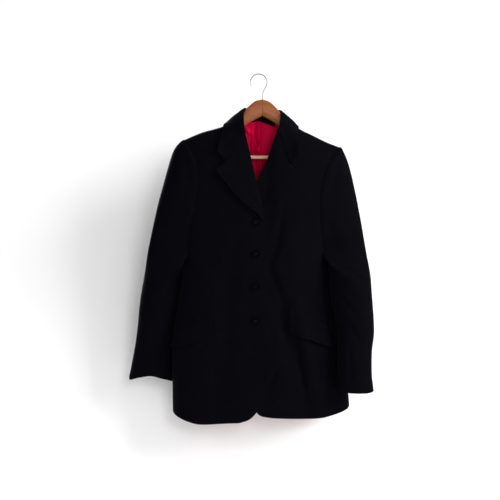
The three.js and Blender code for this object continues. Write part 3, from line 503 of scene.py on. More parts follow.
def mixColour(tree, factor, a, b):
    # a where the factor is 0, b where it is 1
    node = add(tree, "ShaderNodeMix", {"data_type": "RGBA"})
    for i, value in ((0, factor), (6, a), (7, b)):
        setOrLink(tree, node.inputs[i], value)
    return node.outputs[2]


def noise(tree, vector, **values):
    # a noise texture's value along the vector
    return add(tree, "ShaderNodeTexNoise", Vector=vector, **values).outputs[0]


def mapped(tree, vector, **values):
    # the vector scaled or turned
    return add(tree, "ShaderNodeMapping", Vector=vector, **values).outputs[0]


def spread(tree, value, low, high, start=0.0, end=1.0, kind="SMOOTHSTEP"):
    # start where the value is low, end where it is high
    node = add(tree, "ShaderNodeMapRange", {"interpolation_type": kind}, Value=value,
               From_Min=low, From_Max=high, To_Min=start, To_Max=end)
    return node.outputs[0]


def bumped(tree, height, strength, distance):
    # the normal of a height of which 1 is the distance in metres
    return add(tree, "ShaderNodeBump", Strength=strength, Distance=distance, Height=height).outputs[0]


def nodesOf(name):
    # a new material that holds one Principled shader
    material = bpy.data.materials.new(name)
    material.use_nodes = True
    tree = material.node_tree
    tree.nodes.clear()
    shader = add(tree, "ShaderNodeBsdfPrincipled")
    add(tree, "ShaderNodeOutputMaterial", Surface=shader.outputs[0])
    return material, tree, shader


def group(name, inputs, outputs):
    # a node group with named sockets; an input without a number is a vector
    tree = bpy.data.node_groups.new(name, "ShaderNodeTree")
    for label, value in inputs.items():
        kind = "NodeSocketVector" if value is None else "NodeSocketFloat"
        socket = tree.interface.new_socket(label, in_out="INPUT", socket_type=kind)
        if value is not None:
            socket.default_value = value
    for label in outputs:
        tree.interface.new_socket(label, in_out="OUTPUT", socket_type="NodeSocketFloat")
    return tree, tree.nodes.new("NodeGroupInput").outputs, tree.nodes.new("NodeGroupOutput").inputs


def use(tree, made, **values):
    # a node group placed in a material with its own values
    node = tree.nodes.new("ShaderNodeGroup")
    node.node_tree = made
    connect(tree, node.inputs, **values)
    return node.outputs


def twillGroup():
    # height of a twill: ribs sin(2 pi (u + v)) and yarns sin(4 pi (v - u / 2)), u and v in pitches plus noise
    tree, given, result = group("twillWeave", {"UV": None, "Pitch mm": 0.7, "Wobble": 0.3}, ["Height", "Gap"])
    split = add(tree, "ShaderNodeSeparateXYZ", Vector=given["UV"]).outputs
    wander = noise(tree, given["UV"], Scale=220.0, Detail=2.0)
    off = times(tree, minus(tree, wander, 0.5), given["Wobble"])
    scale = calc(tree, "DIVIDE", 1000.0, given["Pitch mm"])
    u, v = (plus(tree, times(tree, way, scale), off) for way in split[:2])
    rib = calc(tree, "SINE", times(tree, plus(tree, u, v), 2 * math.pi))
    yarn = calc(tree, "SINE", times(tree, minus(tree, v, times(tree, u, 0.5)), 4 * math.pi))
    high = plus(tree, plus(tree, times(tree, rib, 0.35), times(tree, yarn, 0.15)), 0.5)
    # Gap is the mask of the low places between the ribs, where the cloth materials paint shade into the
    # colour
    connect(tree, result, Height=high, Gap=minus(tree, 1.0, high))
    return tree


def napGroup():
    # loose fibres, a fine noise drawn out along v, and the slow clouds of brushed cloth
    tree, given, result = group("woolNap", {"UV": None, "Fibre": 1400.0, "Cloud": 14.0}, ["Fibres", "Clouds"])
    drawn = mapped(tree, given["UV"], Scale=(1.0, 0.3, 1.0))
    fibres = noise(tree, drawn, Scale=given["Fibre"], Detail=3.0, Roughness=0.7, Distortion=0.6)
    clouds = noise(tree, given["UV"], Scale=given["Cloud"], Detail=3.0, Roughness=0.55)
    connect(tree, result, Fibres=fibres, Clouds=clouds)
    return tree


def stitchGroup():
    # dashes of thread on the line that lies the inset away from the edge, and the hollow they sink into
    inputs = {"Edge mm": 0.0, "Along mm": 0.0, "Inset mm": 5.0, "Stitch mm": 3.0}
    tree, given, result = group("stitchRow", inputs, ["Thread", "Sunk"])
    away = calc(tree, "ABSOLUTE", minus(tree, given["Edge mm"], given["Inset mm"]))
    step = calc(tree, "FRACT", calc(tree, "DIVIDE", given["Along mm"], given["Stitch mm"]))
    dash = calc(tree, "LESS_THAN", calc(tree, "ABSOLUTE", minus(tree, step, 0.5)), 0.34)
    thread = times(tree, dash, calc(tree, "LESS_THAN", away, 0.28))
    connect(tree, result, Thread=thread, Sunk=spread(tree, away, 0.2, 1.6, 1.0, 0.0))
    return tree


def grainGroup():
    # wood grain along the vector's x: noise drawn out 8 times for rings and clouds, 17 times for pores
    inputs = {"Vector": None, "Rings": 160.0, "Pores": 900.0}
    tree, given, result = group("woodGrain", inputs, ["Rings", "Pores", "Clouds"])
    drawn = mapped(tree, given["Vector"], Scale=(0.12, 1.0, 1.0))
    clouds = noise(tree, drawn, Scale=22.0, Detail=2.0)
    rings = noise(tree, drawn, Scale=given["Rings"], Detail=4.0, Roughness=0.6, Distortion=0.8)
    thin = mapped(tree, given["Vector"], Scale=(0.06, 1.0, 1.0))
    pores = noise(tree, thin, Scale=given["Pores"], Detail=2.0, Roughness=0.5)
    connect(tree, result, Rings=rings, Pores=spread(tree, pores, 0.6, 0.72, kind="LINEAR"), Clouds=clouds)
    return tree


twill, nap, stitches, grain = twillGroup(), napGroup(), stitchGroup(), grainGroup()


def clothInputs(tree):
    # the cloth's own map in metres, and the distance in mm from its finished edges
    uv = add(tree, "ShaderNodeUVMap", {"uv_map": "cloth"})
    edge = add(tree, "ShaderNodeAttribute", {"attribute_name": "edge"})
    return uv.outputs[0], edge.outputs["Fac"]


woolLook = {
    "dark": (0.0009, 0.0006, 0.0014, 1),
    "light": (0.0021, 0.0020, 0.0040, 1),
    "fibre": (0.0070, 0.0058, 0.0095, 1),
    "thread": (0.0035, 0.003, 0.0045, 1),
    "pitch": 0.75,
    "wobble": 0.45,
    "gaps": 0.45,  # painted shade: how dark the colour is made between the ribs
    "fuzz": 0.8,  # height of the fibres, where a rib's is 1
    "stitchInset": 5.0,
    "stitch": 3.2,
    "sunk": 2.2,
    "threadHigh": 1.4,
    "roughness": 0.73,
    "specular": 0.02,
    "sheen": 0.012,
    "sheenRoughness": 0.42,
    "sheenTint": (0.75, 0.78, 0.95, 1),
}


def woolMaterial(name, stitched):
    # clouds between two near-blacks, painted shade making it darkest between the ribs, paler fibres, and a
    # sewn row where stitched
    look = woolLook
    material, tree, shader = nodesOf(name)
    uv, edge = clothInputs(tree)
    weave = use(tree, twill, UV=uv, Pitch_mm=look["pitch"], Wobble=look["wobble"])
    fuzz = use(tree, nap, UV=uv)
    base = mixColour(tree, fuzz["Clouds"], look["dark"], look["light"])
    # painted shade: the colour is darkened towards the dark tone in the gaps between the ribs
    base = mixColour(tree, times(tree, weave["Gap"], look["gaps"]), base, look["dark"])
    base = mixColour(tree, spread(tree, fuzz["Fibres"], 0.6, 0.74, 0.0, 0.55, "LINEAR"), base, look["fibre"])
    height = plus(tree, weave["Height"], times(tree, fuzz["Fibres"], look["fuzz"]))
    if stitched:
        split = add(tree, "ShaderNodeSeparateXYZ", Vector=uv).outputs
        along = times(tree, plus(tree, split[0], split[1]), 1000.0)
        row = use(tree, stitches, Edge_mm=edge, Along_mm=along,
                  Inset_mm=look["stitchInset"], Stitch_mm=look["stitch"])
        height = minus(tree, height, times(tree, row["Sunk"], look["sunk"]))
        height = plus(tree, height, times(tree, row["Thread"], look["threadHigh"]))
        base = mixColour(tree, times(tree, row["Thread"], 0.8), base, look["thread"])
    connect(tree, shader.inputs, Base_Color=base, Normal=bumped(tree, height, 0.42, 0.00022),
            Roughness=plus(tree, times(tree, fuzz["Clouds"], 0.1), look["roughness"]),
            Specular_IOR_Level=look["specular"], Sheen_Weight=look["sheen"],
            Sheen_Roughness=look["sheenRoughness"], Sheen_Tint=look["sheenTint"])
    return material


satinLook = {
    "deep": (0.40, 0.0003, 0.018, 1),
    "bright": (0.92, 0.0006, 0.086, 1),
    "pitch": 0.28,
    "wobble": 0.15,
    # painted shade between the ribs: how far the colour is deepened there
    "gaps": 0.3,
    "facing": 36.0,  # width in mm of wool turned in at a finished edge
    "lip": (1.6, 6.0),  # width and height of the satin's step down from it
    "roughness": 0.36,
    "facingRough": 0.4,  # by how much the wool is rougher
    "specular": 0.10,
    "specularTint": (1.0, 0.25, 0.45, 1),
    "sheen": 0.03,
    "sheenRoughness": 0.3,
    "sheenTint": (1.0, 0.1, 0.25, 1),
}


def satinMaterial(name, withFacing):
    # clouds between two reds, painted shade making it deepest between the ribs, and wool within the facing's
    # width of the edge
    look = satinLook
    material, tree, shader = nodesOf(name)
    uv, edge = clothInputs(tree)
    weave = use(tree, twill, UV=uv, Pitch_mm=look["pitch"], Wobble=look["wobble"])
    fuzz = use(tree, nap, UV=uv, Fibre=2200.0, Cloud=24.0)
    base = mixColour(tree, fuzz["Clouds"], look["deep"], look["bright"])
    # painted shade: the colour is deepened towards the deep red in the gaps between the ribs
    base = mixColour(tree, times(tree, weave["Gap"], look["gaps"]), base, look["deep"])
    rough = plus(tree, times(tree, fuzz["Fibres"], 0.1), look["roughness"])
    height = weave["Height"]
    if withFacing:
        turned = calc(tree, "LESS_THAN", edge, look["facing"])
        base = mixColour(tree, turned, base, woolLook["light"])
        rough = plus(tree, rough, times(tree, turned, look["facingRough"]))
        wide, high = look["lip"]
        height = plus(tree, height, spread(tree, edge, look["facing"], look["facing"] + wide, 0.0, high))
    connect(tree, shader.inputs, Base_Color=base, Roughness=rough, Normal=bumped(tree, height, 0.35, 0.00016),
            Specular_IOR_Level=look["specular"], Specular_Tint=look["specularTint"],
            Sheen_Weight=look["sheen"], Sheen_Roughness=look["sheenRoughness"], Sheen_Tint=look["sheenTint"])
    return material


stain = {"pale": (0.265, 0.080, 0.024, 1), "deep": (0.195, 0.053, 0.013, 1), "pore": (0.11, 0.028, 0.007, 1)}
woodLook = {  # turn is the grain's own, about x, y and z
    "stainedBeech": {**stain, "coat": 0.04, "turn": (0, 0.35, 0)},
    "stainedBeechTurned": {**stain, "coat": 0.04, "turn": (0, -0.35, 0)},
    "paleBar": {"pale": (0.90, 0.66, 0.42, 1), "deep": (0.80, 0.52, 0.29, 1), "pore": (0.55, 0.31, 0.15, 1),
                "coat": 0.1, "turn": (0, 0, 0)},
}


def woodMaterial(name):
    # rings between two tones, darkened by clouds and by pores, which are rougher and lower
    look = woodLook[name]
    material, tree, shader = nodesOf(name)
    turned = mapped(tree, add(tree, "ShaderNodeTexCoord").outputs["Object"], Rotation=look["turn"])
    wood = use(tree, grain, Vector=turned, Rings=210.0, Pores=1500.0)
    rings = spread(tree, wood["Rings"], 0.36, 0.64)
    base = mixColour(tree, rings, look["deep"], look["pale"])
    base = mixColour(tree, times(tree, wood["Clouds"], 0.35), base, look["deep"])
    base = mixColour(tree, times(tree, wood["Pores"], 0.5), base, look["pore"])
    height = minus(tree, rings, wood["Pores"])
    connect(tree, shader.inputs, Base_Color=base, Normal=bumped(tree, height, 0.2, 0.0001),
            Roughness=plus(tree, times(tree, wood["Pores"], 0.2), 0.34), Specular_IOR_Level=0.12,
            Coat_Weight=look["coat"], Coat_Roughness=0.12)
    return material


hardLook = {  # two tones, roughness, metal, specular level, and the scale of the clouds between the tones
    "blackHorn": {"tones": ((0.0008, 0.0008, 0.0011, 1), (0.002, 0.0018, 0.0024, 1)),
                  "roughness": 0.34, "metal": 0.0, "specular": 0.008, "scale": 180.0},
    "blackThread": {"tones": ((0.006, 0.006, 0.007, 1), (0.02, 0.02, 0.022, 1)),
                    "roughness": 0.7, "metal": 0.0, "specular": 0.2, "scale": 2600.0},
    "drawnSteelWire": {"tones": ((0.20, 0.20, 0.21, 1), (0.34, 0.34, 0.35, 1)),
                       "roughness": 0.38, "metal": 1.0, "specular": 0.5, "scale": 240.0},
}


def hardMaterial(name):
    # cloudy two-tone colour with fine scratches, for the buttons, their thread and the wire
    look = hardLook[name]
    material, tree, shader = nodesOf(name)
    place = add(tree, "ShaderNodeTexCoord").outputs["Object"]
    clouds = noise(tree, place, Scale=look["scale"], Detail=4.0, Roughness=0.6)
    fine = noise(tree, place, Scale=look["scale"] * 14, Detail=2.0)
    connect(tree, shader.inputs, Base_Color=mixColour(tree, clouds, *look["tones"]),
            Roughness=plus(tree, times(tree, fine, 0.18), look["roughness"] - 0.09),
            Normal=bumped(tree, fine, 0.15, 0.00008), Metallic=look["metal"],
            Specular_IOR_Level=look["specular"])
    return material


wool, woolStitched = woolMaterial("blackWool", False), woolMaterial("blackWoolStitched", True)
satin, satinInside = satinMaterial("crimsonSatin", False), satinMaterial("crimsonSatinInside", True)
beech, beechTurned, pine = (woodMaterial(name) for name in woodLook)
hornLike, threadBlack, drawnWire = (hardMaterial(name) for name in hardLook)
print("materials made:", len(bpy.data.materials))

# making pieces


def newObject(name, data):
    # an object with its data, linked into the scene
    obj = bpy.data.objects.new(name, data)
    bpy.context.scene.collection.objects.link(obj)
    return obj


def nodeOf(name):
    # the CAD node of a piece's name: sleeve_top_right for sleeveTopRight
    return "".join("_" + c.lower() if c.isupper() or c.isdigit() else c for c in name)


def gridMesh(name, points, away, materials, edge=None, closed=False, node=None):
    # rows x columns of points into quads; a closed grid joins its last column to its first and gets end caps
    rows, cols = points.shape[:2]
    r, c = np.meshgrid(np.arange(rows - 1), np.arange(cols if closed else cols - 1), indexing="ij")
    nextC = (c + 1) % cols
    corners = [r * cols + c, r * cols + nextC, (r + 1) * cols + nextC, (r + 1) * cols + c]
    quads = np.stack(corners, -1).reshape(-1, 4)
    flat = (points.reshape(-1, 3) + np.array([make["stemOffset"], 0, 0])) / 1000
    corner = flat[quads]
    facing = np.cross(corner[:, 2] - corner[:, 0], corner[:, 3] - corner[:, 1])
    if (facing * np.broadcast_to(away, points.shape).reshape(-1, 3)[quads[:, 0]]).sum() < 0:
        quads = quads[:, ::-1]
    faces = quads.tolist()
    if closed:
        axis = flat[-1] - flat[0]
        for first, way in ((0, -1), ((rows - 1) * cols, 1)):
            ring = list(range(first, first + cols))
            a, b, d = (flat[ring[cols * third // 3]] for third in range(3))
            outwards = np.dot(np.cross(b - a, d - a), axis) * way > 0
            faces.append(ring if outwards else ring[::-1])
    mesh = bpy.data.meshes.new(name)
    mesh.from_pydata(flat.tolist(), [], faces)
    layer = mesh.uv_layers.new(name="cloth")
    place = np.stack([lengths(points, 1), lengths(points, 0)], -1).reshape(-1, 2) / 1000
    loops = np.empty(len(mesh.loops), dtype=np.int32)
    mesh.loops.foreach_get("vertex_index", loops)
    layer.data.foreach_set("uv", place[loops].astype(np.float32).ravel())
    if edge is not None:
        values = mesh.attributes.new("edge", "FLOAT", "POINT").data
        values.foreach_set("value", edge.astype(np.float32).ravel())
    for material in materials:
        mesh.materials.append(material)
    mesh.polygons.foreach_set("use_smooth", np.ones(len(mesh.polygons), dtype=bool))
    mesh.update()
    obj = newObject(name, mesh)
    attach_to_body(obj, "root")
    if node:
        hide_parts(node)
    return obj


def insideEdge(points, finished):
    # the distance from the finished edges, which is wool inside up to the facing's width, and lessened
    # where there is wool besides: at the seams above the waist, and around the armholes' lowest points
    x, _, z = np.moveaxis(points, -1, 0)
    facing = satinLook["facing"]
    allRound = edgeDistance(points, ["first", "last", "left", "right"])
    turned = make["allowance"] * ramp(z, *make["waist"])
    edge = np.minimum(edgeDistance(points, finished), allRound + facing - turned)
    for side, high in make["notch"].items():
        fromNotch = np.hypot(x - make["notchAt"][side], z - high)
        edge = np.minimum(edge, facing + fromNotch - make["notchWool"])
    return edge


def clothPiece(name, points, away, finished, materials, thick=make["cloth"], node=None):
    # a mid surface with a wall, pressed edges and an inner side in the second material;
    # cut: the width and length in m that it was cut to, and its area in m2
    obj = gridMesh(name, points, away, materials, insideEdge(points, finished))
    wall = obj.modifiers.new("wall", "SOLIDIFY")
    wall.thickness = thick / 1000
    wall.offset = 0
    wall.use_even_offset = False
    wall.material_offset = 1
    wall.material_offset_rim = 0
    soft = obj.modifiers.new("pressedEdge", "BEVEL")
    soft.limit_method = "ANGLE"
    soft.angle_limit = math.radians(50)
    soft.width = min(make["pressed"], wall.thickness * 1000 * 0.4) / 1000
    soft.segments = 2
    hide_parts(node or nodeOf(name))
    area = np.cross(points[1:, 1:] - points[:-1, :-1], points[1:, :-1] - points[:-1, 1:])
    wide, long = lengths(points, 1)[:, -1].max() / 1000, lengths(points, 0)[-1].max() / 1000
    print(f"{name}: cloth {np.linalg.norm(area, axis=-1).sum() / 2e6:.4f} m2, {wide:.3f} x {long:.3f} m")
    return obj


fine = {"rowsLow": 92, "rowsHigh": 44, "front": 58, "back": 56, "side": 34, "top": 78, "under": 34}

rowMake = {
    "notch": 16,  # rows are numbered from 0 at the hem to this at the armhole's lowest point
    "tip": 25,  # and to this at its highest
    "lowBend": 1.45,  # above 1 the rows lie closer at the hem
    "highBend": 2.2,  # and at the tip
    "hemLevel": -890,  # the turns of the hem's line are measured at this height
    "drawn": 0.28,  # how far columns are drawn to both seams
}
rowsBelow = np.linspace(0, rowMake["notch"], fine["rowsLow"])
rowsAbove = np.linspace(rowMake["notch"], rowMake["tip"], fine["rowsHigh"])
rowPlace = np.concatenate([rowsBelow, rowsAbove[1:]])[:, None]
isLow = rowPlace <= rowMake["notch"]
rowUp = np.minimum(rowPlace / rowMake["notch"], 1)


def rowHeights(side, hem):
    # heights of the rows: hem + (notch - hem) up^bend along the side seam, and the same from the tip down
    notch, tip = make["notch"][side], make["tip"][side]
    down = np.clip(1 - (rowPlace - rowMake["notch"]) / (rowMake["tip"] - rowMake["notch"]), 0, 1)
    low = lerp(hem, notch, rowUp ** rowMake["lowBend"])
    return np.where(isLow, low, lerp(tip, notch, down ** rowMake["highBend"]))


def closeToSeams(count):
    # columns t - drawn sin(2 pi t) / 2 pi, closer at both ends, so that the seams are modelled finely
    t = np.linspace(0, 1, count)
    drawn = rowMake["drawn"]
    return ((1 - drawn) * t + drawn * (t - np.sin(2 * np.pi * t) / (2 * np.pi)))[None, :]


def hemHeight(side, turn):
    # the hem's line by its turn round the body
    return sample(hemLine[side], "turn", turn, "z")


def hemUnder(side, face, x):
    # the hem below a place on the front (face -1) or back (face 1)
    return hemHeight(side, face * turnAt(side, x, rowMake["hemLevel"]))


def panelPlaces(side, face, innerAt, topAt, count):
    # x and drop of a panel's grid: straight from the inner edge to the side seam,
    # then shifted in z so that its first row lies on the hem's line and its last on topAt
    outerZ = rowHeights(side, hemUnder(side, face, seamX(side, rowMake["hemLevel"])))
    outerX = seamX(side, outerZ) - make["seam"] / 2
    innerX, innerZ = innerAt((outerZ - outerZ[0]) / (outerZ[-1] - outerZ[0]))
    u = closeToSeams(count)
    x, z = signOf[side] * lerp(innerX, outerX, u), lerp(innerZ, outerZ, u)
    nearHem = (1 - ramp(rowPlace, 0, 12)) ** 2
    nearTop = ramp(rowPlace, rowMake["notch"], rowMake["tip"])
    z = z + nearHem * (hemUnder(side, face, x[0]) - z[0]) + nearTop * (topAt(x[-1]) - z[-1])
    return x, np.maximum(dropOf(x, z), 0.008)


panelMake = {  # start and height of the waves, and how far creases keep from the shoulder and the inner edge
    "front": {"shift": 0, "wave": 0.7, "shoulder": 60, "inner": 16},
    "back": {"shift": 40, "wave": 0.9, "shoulder": 70, "inner": 14},
}


def panel(stem, side, points, creases, sewn, finished):
    # creases and waves fade out towards the shoulder and both side edges, and puckers lie beside what is sewn
    own = panelMake[stem]
    x, y, z = np.moveaxis(points, -1, 0)
    away = grid3(0.02 * x, y - make["skew"] * x, 0 * x)
    lift = creaseField(creases, x, z) + uneven(x + own["shift"], z, own["wave"])
    lift = lift * ramp(z, shoulderHeight(x) - 8, shoulderHeight(x) - own["shoulder"])
    for edge, width in (("right", 14), ("left", own["inner"])):
        lift = lift * ramp(edgeDistance(points, [edge]), 0, width)
    lift = lift + pucker(points, edgeDistance(points, sewn))
    points = raised(points, away, lift)
    clothPiece(stem + wearerOf[side], points, away, finished, [wool, satinInside])


# fronts

frontCreases = {
    "left": [  # from x, z to x, z, width, deep, bow
        (-175, -340, -196, -460, 7, 1.2, 3),
        (-150, -470, -60, -560, 22, 1.8, 8),
        (-62, -420, -118, -610, 20, 1.6, -6),
        (-30, -500, -36, -760, 16, 1.3, 4),
        (-126, -720, -118, -880, 14, 1.6, 3),
        (-84, -260, -96, -400, 16, 1.0, 0),
        (-14, -640, -60, -800, 18, 1.3, -5),
    ],
    "right": [
        (52, -352, 36, -470, 8, 2.2, 2),
        (38, -455, 10, -505, 8, 1.8, 0),
        (12, -500, 66, -612, 9, 2.4, -3),
        (84, -682, 119, -846, 8, 3.4, 2),
        (46, -742, 2, -846, 8, 2.2, 2),
        (58, -628, 62, -700, 8, 2.6, 2),
        (120, -340, 112, -470, 18, 1.4, 4),
        (140, -440, 108, -520, 12, 1.4, 0),
        (20, -640, 40, -720, 12, 1.6, 3),
        (96, -500, 88, -600, 16, 1.0, 4),
    ],
}
underlapMake = {"fades": (5, 45), "deep": 2.8, "chest": 3.4, "rises": (-410, -350)}


def frontPoint(side, x, drop):
    # the right of the two lies under the other, deeper at the chest and less towards the side
    points = torsoPoint(-1, x, drop)
    if side == "right":
        x, z = points[..., 0], points[..., 2]
        deep = underlapMake["deep"] + underlapMake["chest"] * ramp(z, *underlapMake["rises"])
        points[..., 1] += (1 - ramp(x, *underlapMake["fades"])) * deep
    return points


def front(side):
    # x, z go from the front edge's table straight to the side seam
    edge = frontEdge[side]

    def innerAt(t):
        z = lerp(edge["z"][0], edge["z"][-1], t)
        return sample(edge, "z", z, "x"), z

    points = frontPoint(side, *panelPlaces(side, -1, innerAt, shoulderHeight, fine["front"]))
    panel("front", side, points, frontCreases[side], ["right"], ["first", "left"])


# backs

backCreases = {
    "left": [
        (-60, -560, -120, -470, 18, 2.0, 4),
        (-150, -560, -90, -640, 20, 2.2, -4),
        (-30, -240, -70, -420, 22, 1.2, 6),
        (-70, -640, -56, -860, 18, 2.4, 4),
        (-110, -700, -122, -880, 14, 2.0, -2),
        (-20, -500, -26, -700, 14, 1.3, 2),
    ],
    "right": [
        (52, -570, 110, -480, 18, 2.0, -4),
        (140, -560, 84, -630, 20, 2.2, 4),
        (28, -250, 64, -430, 22, 1.2, -6),
        (64, -650, 54, -860, 18, 2.2, -4),
        (104, -690, 112, -870, 14, 2.0, 2),
        (22, -510, 20, -700, 14, 1.3, -2),
    ],
}


def back(side):
    # x, z go from the centre seam straight to the side seam; the top is the neck, then the shoulder
    hem, neck = hemHeight(side, 90), neckBack["z"][0]

    def innerAt(t):
        return make["seam"] / 2 + 0 * t, lerp(hem, neck, t)

    def topAt(x):
        inner = np.minimum(sample(neckBack, "x", np.abs(x), "z"), shoulderHeight(x))
        return np.where(np.abs(x) >= neckBack["x"][-1], shoulderHeight(x), inner)

    points = torsoPoint(1, *panelPlaces(side, 1, innerAt, topAt, fine["back"]))
    panel("back", side, points, backCreases[side], ["left", "right"], ["first", "last"])


# side bodies


def sideBody(side):
    # turn and height go straight from the front's seam to the back's, and the first row follows the hem
    up = rowUp[: fine["rowsLow"]]

    def seamRow(face):
        # turn and height of the seam with the front (-1) or back (1)
        hem = hemUnder(side, face, seamX(side, rowMake["hemLevel"]))
        z = lerp(hem, make["notch"][side], up ** rowMake["lowBend"])
        return np.stack([face * turnAt(side, seamX(side, z) + make["seam"] / 2, z), z])

    turn, z = lerp(seamRow(-1), seamRow(1), closeToSeams(fine["side"]))
    z = z + (1 - up) ** 3 * (hemHeight(side, turn) - z[0])
    points = sidePoint(side, turn, z)
    away = points * np.array([1.0, 3.0, 0.0])
    near = edgeDistance(points, ["left", "right"])
    lift = uneven(points[..., 1] * 1.4 + 90, points[..., 2], 0.8) * ramp(near, 0, 14) + pucker(points, near)
    points = raised(points, away, lift)
    clothPiece("side" + wearerOf[side], points, away, ["first"], [wool, satinInside])


# sleeves; turn 0 is outwards, 90 to the front, -90 to the back

sleeveCreases = {
    "left": [  # from turn, z to turn, z
        (118, -360, 112, -590, 9, 3.0, 4),
        (60, -560, 140, -640, 8, 1.6, 4),
        (150, -520, 60, -600, 8, 1.8, -4),
        (20, -600, 96, -660, 9, 1.2, 3),
        (64, -210, 84, -330, 10, 1.6, -3),
        (130, -650, 116, -790, 9, 2.0, 3),
        (-60, -560, -120, -640, 12, 2.0, 4),
        (-30, -610, -100, -690, 12, 1.6, -4),
        (30, -690, 70, -770, 12, 1.2, 2),
    ],
    "right": [
        (96, -480, 40, -570, 9, 1.8, 4),
        (134, -560, 70, -640, 9, 2.0, -4),
        (128, -640, 60, -720, 9, 1.4, 4),
        (60, -230, 82, -350, 10, 1.4, 3),
        (84, -380, 70, -500, 10, 1.6, 3),
        (120, -690, 104, -800, 9, 1.6, 3),
        (-50, -580, -110, -650, 12, 2.0, 4),
        (-20, -640, -90, -720, 12, 1.6, -4),
    ],
}
sleeveMake = {
    "close": {"left": 3.0, "right": 4.0},  # the sleeve hangs this much nearer to the body under the arm
    "closeFrom": (-640, -560),
    "forward": {"left": 12.0, "right": 0.0},  # and its lower half swings forward
    "forwardFrom": (470, 640),
    "roped": {"left": 1.3, "right": 1.4},  # height of the sleeve head's ridge along the armhole
    "attach": 90,  # the sleeve grows out of the armhole over this length
    "seamTurn": (128, 90),  # turn of both seams, down the sleeve and at the armhole
    "cuffLevel": -800,
    "wave": 0.6,
    "pucker": 0.22,
}


def sleevePoint(side, turn, z):
    # two half ellipses, x = middle + outer or inner width cos(turn), y = middle - depth sin(turn),
    # which pass into the armhole's own outline over its last part
    table, notch, sign = sleeves[side], make["notch"][side], signOf[side]
    low = np.minimum(z, notch)
    atNotch = ramp(z, notch - 30, notch)
    outer = np.where(z > notch, sample(sleeveHead[side], "z", z, "x"), sample(table, "z", z, "outer"))
    close = sleeveMake["close"][side] * ramp(z, *sleeveMake["closeFrom"]) * (1 - atNotch)
    inner = lerp(sample(table, "z", low, "inner") - close, sample(torso, "z", low, side) + 0.4, atNotch)
    hole = seamX(side, z) + make["armholeGap"]
    attach = ramp(z, notch - sleeveMake["attach"], notch)
    middle = lerp((outer + inner) / 2, hole, attach)
    cos, sin = np.cos(np.radians(turn)), np.sin(np.radians(turn))
    x = middle + np.where(cos > 0, outer - middle, middle - inner) * cos
    holeZ = np.minimum(z, shoulderHeight(sign * hole) - 0.01)
    outside = (make["cloth"] + 2 * make["rest"]) * ramp(notch - z, 0, 60)
    freeY, freeDeep = sample(table, "z", low, "y"), sample(table, "z", low, "deep")
    freeY = freeY - sleeveMake["forward"][side] * ramp(-z, *sleeveMake["forwardFrom"])
    frontY = lerp(freeY - freeDeep, onTorso(-1, sign * hole, holeZ)[..., 1] - outside, attach)
    backY = lerp(freeY + freeDeep, onTorso(1, sign * hole, holeZ)[..., 1] + outside, attach)
    return grid3(sign * x, (frontY + backY) / 2 - (backY - frontY) / 2 * sin, z)


def seamTurns(side, z):
    # turn of the seams, and the share of a turn that the seam's own width takes there
    turn = lerp(*sleeveMake["seamTurn"], ramp(z, make["notch"][side] - 110, make["notch"][side]))
    step = np.linalg.norm(sleevePoint(side, turn + 0.5, z) - sleevePoint(side, turn - 0.5, z), axis=-1)
    return turn, make["seam"] / step


def sleevePiece(stem, side, turn, z, across, fade, ridge=0.0):
    # creases and puckers on the sleeve's grid; outwards is away from the middle between two opposite turns
    points = sleevePoint(side, turn, z)
    ends = [sleevePoint(side, 0 * turn + end, z) for end in (across, across + 180)]
    away = points - (ends[0] + ends[1]) / 2
    near = edgeDistance(points, ["left", "right"])
    wrapped = np.where(turn > 240, turn - 360, turn)
    lift = creaseField(sleeveCreases[side], wrapped, points[..., 2])
    lift = lift + uneven(turn * 0.8, points[..., 2], sleeveMake["wave"])
    lift = lift * ramp(near, 0, 12) + pucker(points, near, sleeveMake["pucker"])
    ridge = ridge * ramp(near, 1, 8) * (1 - ramp(near, 10, 30))
    points = raised(points, away, lift * fade + ridge)
    clothPiece(stem + wearerOf[side], points, away, ["first"], [wool, satinInside])


def topSleeve(side):
    # turn runs from seam to seam over the outside, z straight up to the notch and then up the armhole
    notch, tip = make["notch"][side], make["tip"][side]
    armhole = rowHeights(side, sleeveMake["cuffLevel"])
    guess = np.where(isLow, lerp(sleeveMake["cuffLevel"], notch, rowUp), armhole)
    most, seam = seamTurns(side, guess)
    most = np.where(rowPlace < rowMake["notch"], most - seam, most)
    turn = lerp(-most, most, closeToSeams(fine["top"]))
    z = np.where(isLow, lerp(sample(cuffLine[side], "turn", turn, "z"), notch, rowUp), armhole)
    ridge = sleeveMake["roped"][side] * ramp(z, notch - 20, notch + 60)
    sleevePiece("sleeveTop", side, turn, z, -90, 1 - ramp(z, tip - 60, tip - 5), ridge)


def underSleeve(side):
    # turn runs from seam to seam round the inside, z straight from the cuff up to the notch
    notch = make["notch"][side]
    up = np.linspace(0, 1, fine["rowsLow"])[:, None]
    most, seam = seamTurns(side, lerp(sleeveMake["cuffLevel"], notch, up))
    turn = lerp(most + seam, 360 - (most + seam), closeToSeams(fine["under"]))
    cuff = sample(cuffLine[side], "turn", np.where(turn > 270, turn - 360, turn), "z")
    sleevePiece("sleeveUnder", side, turn, lerp(cuff, notch, up), 0, (1 - ramp(up, 0.8, 1)) * 0.7)


for side in signOf:
    for makePiece in (front, back, sideBody, topSleeve, underSleeve):
        makePiece(side)
print("body and sleeves made")

# lapels

forwards = np.array([0, -1.0, 0])
lapelMake = {
    "rows": 90,
    "cols": 44,
    "rollCols": 10,
    "bulge": 1.4,
    "stand": {"left": 6.5, "right": 5.0},  # how far the outer edge stands off the front
    "collarClear": 3.2,  # the collar stands off by this at its roll
    "collarStand": {"left": 3.5, "right": 1.0},  # and by this much more at its outer edge
    "overSeam": 0.7,  # the lapel's row that is sewn to the collar stands this much higher
    "notchAlong": 0.72,  # share of the collar's end that the lapel is sewn to
    "tuck": 6.0,  # the rows under the collar reach this far
}


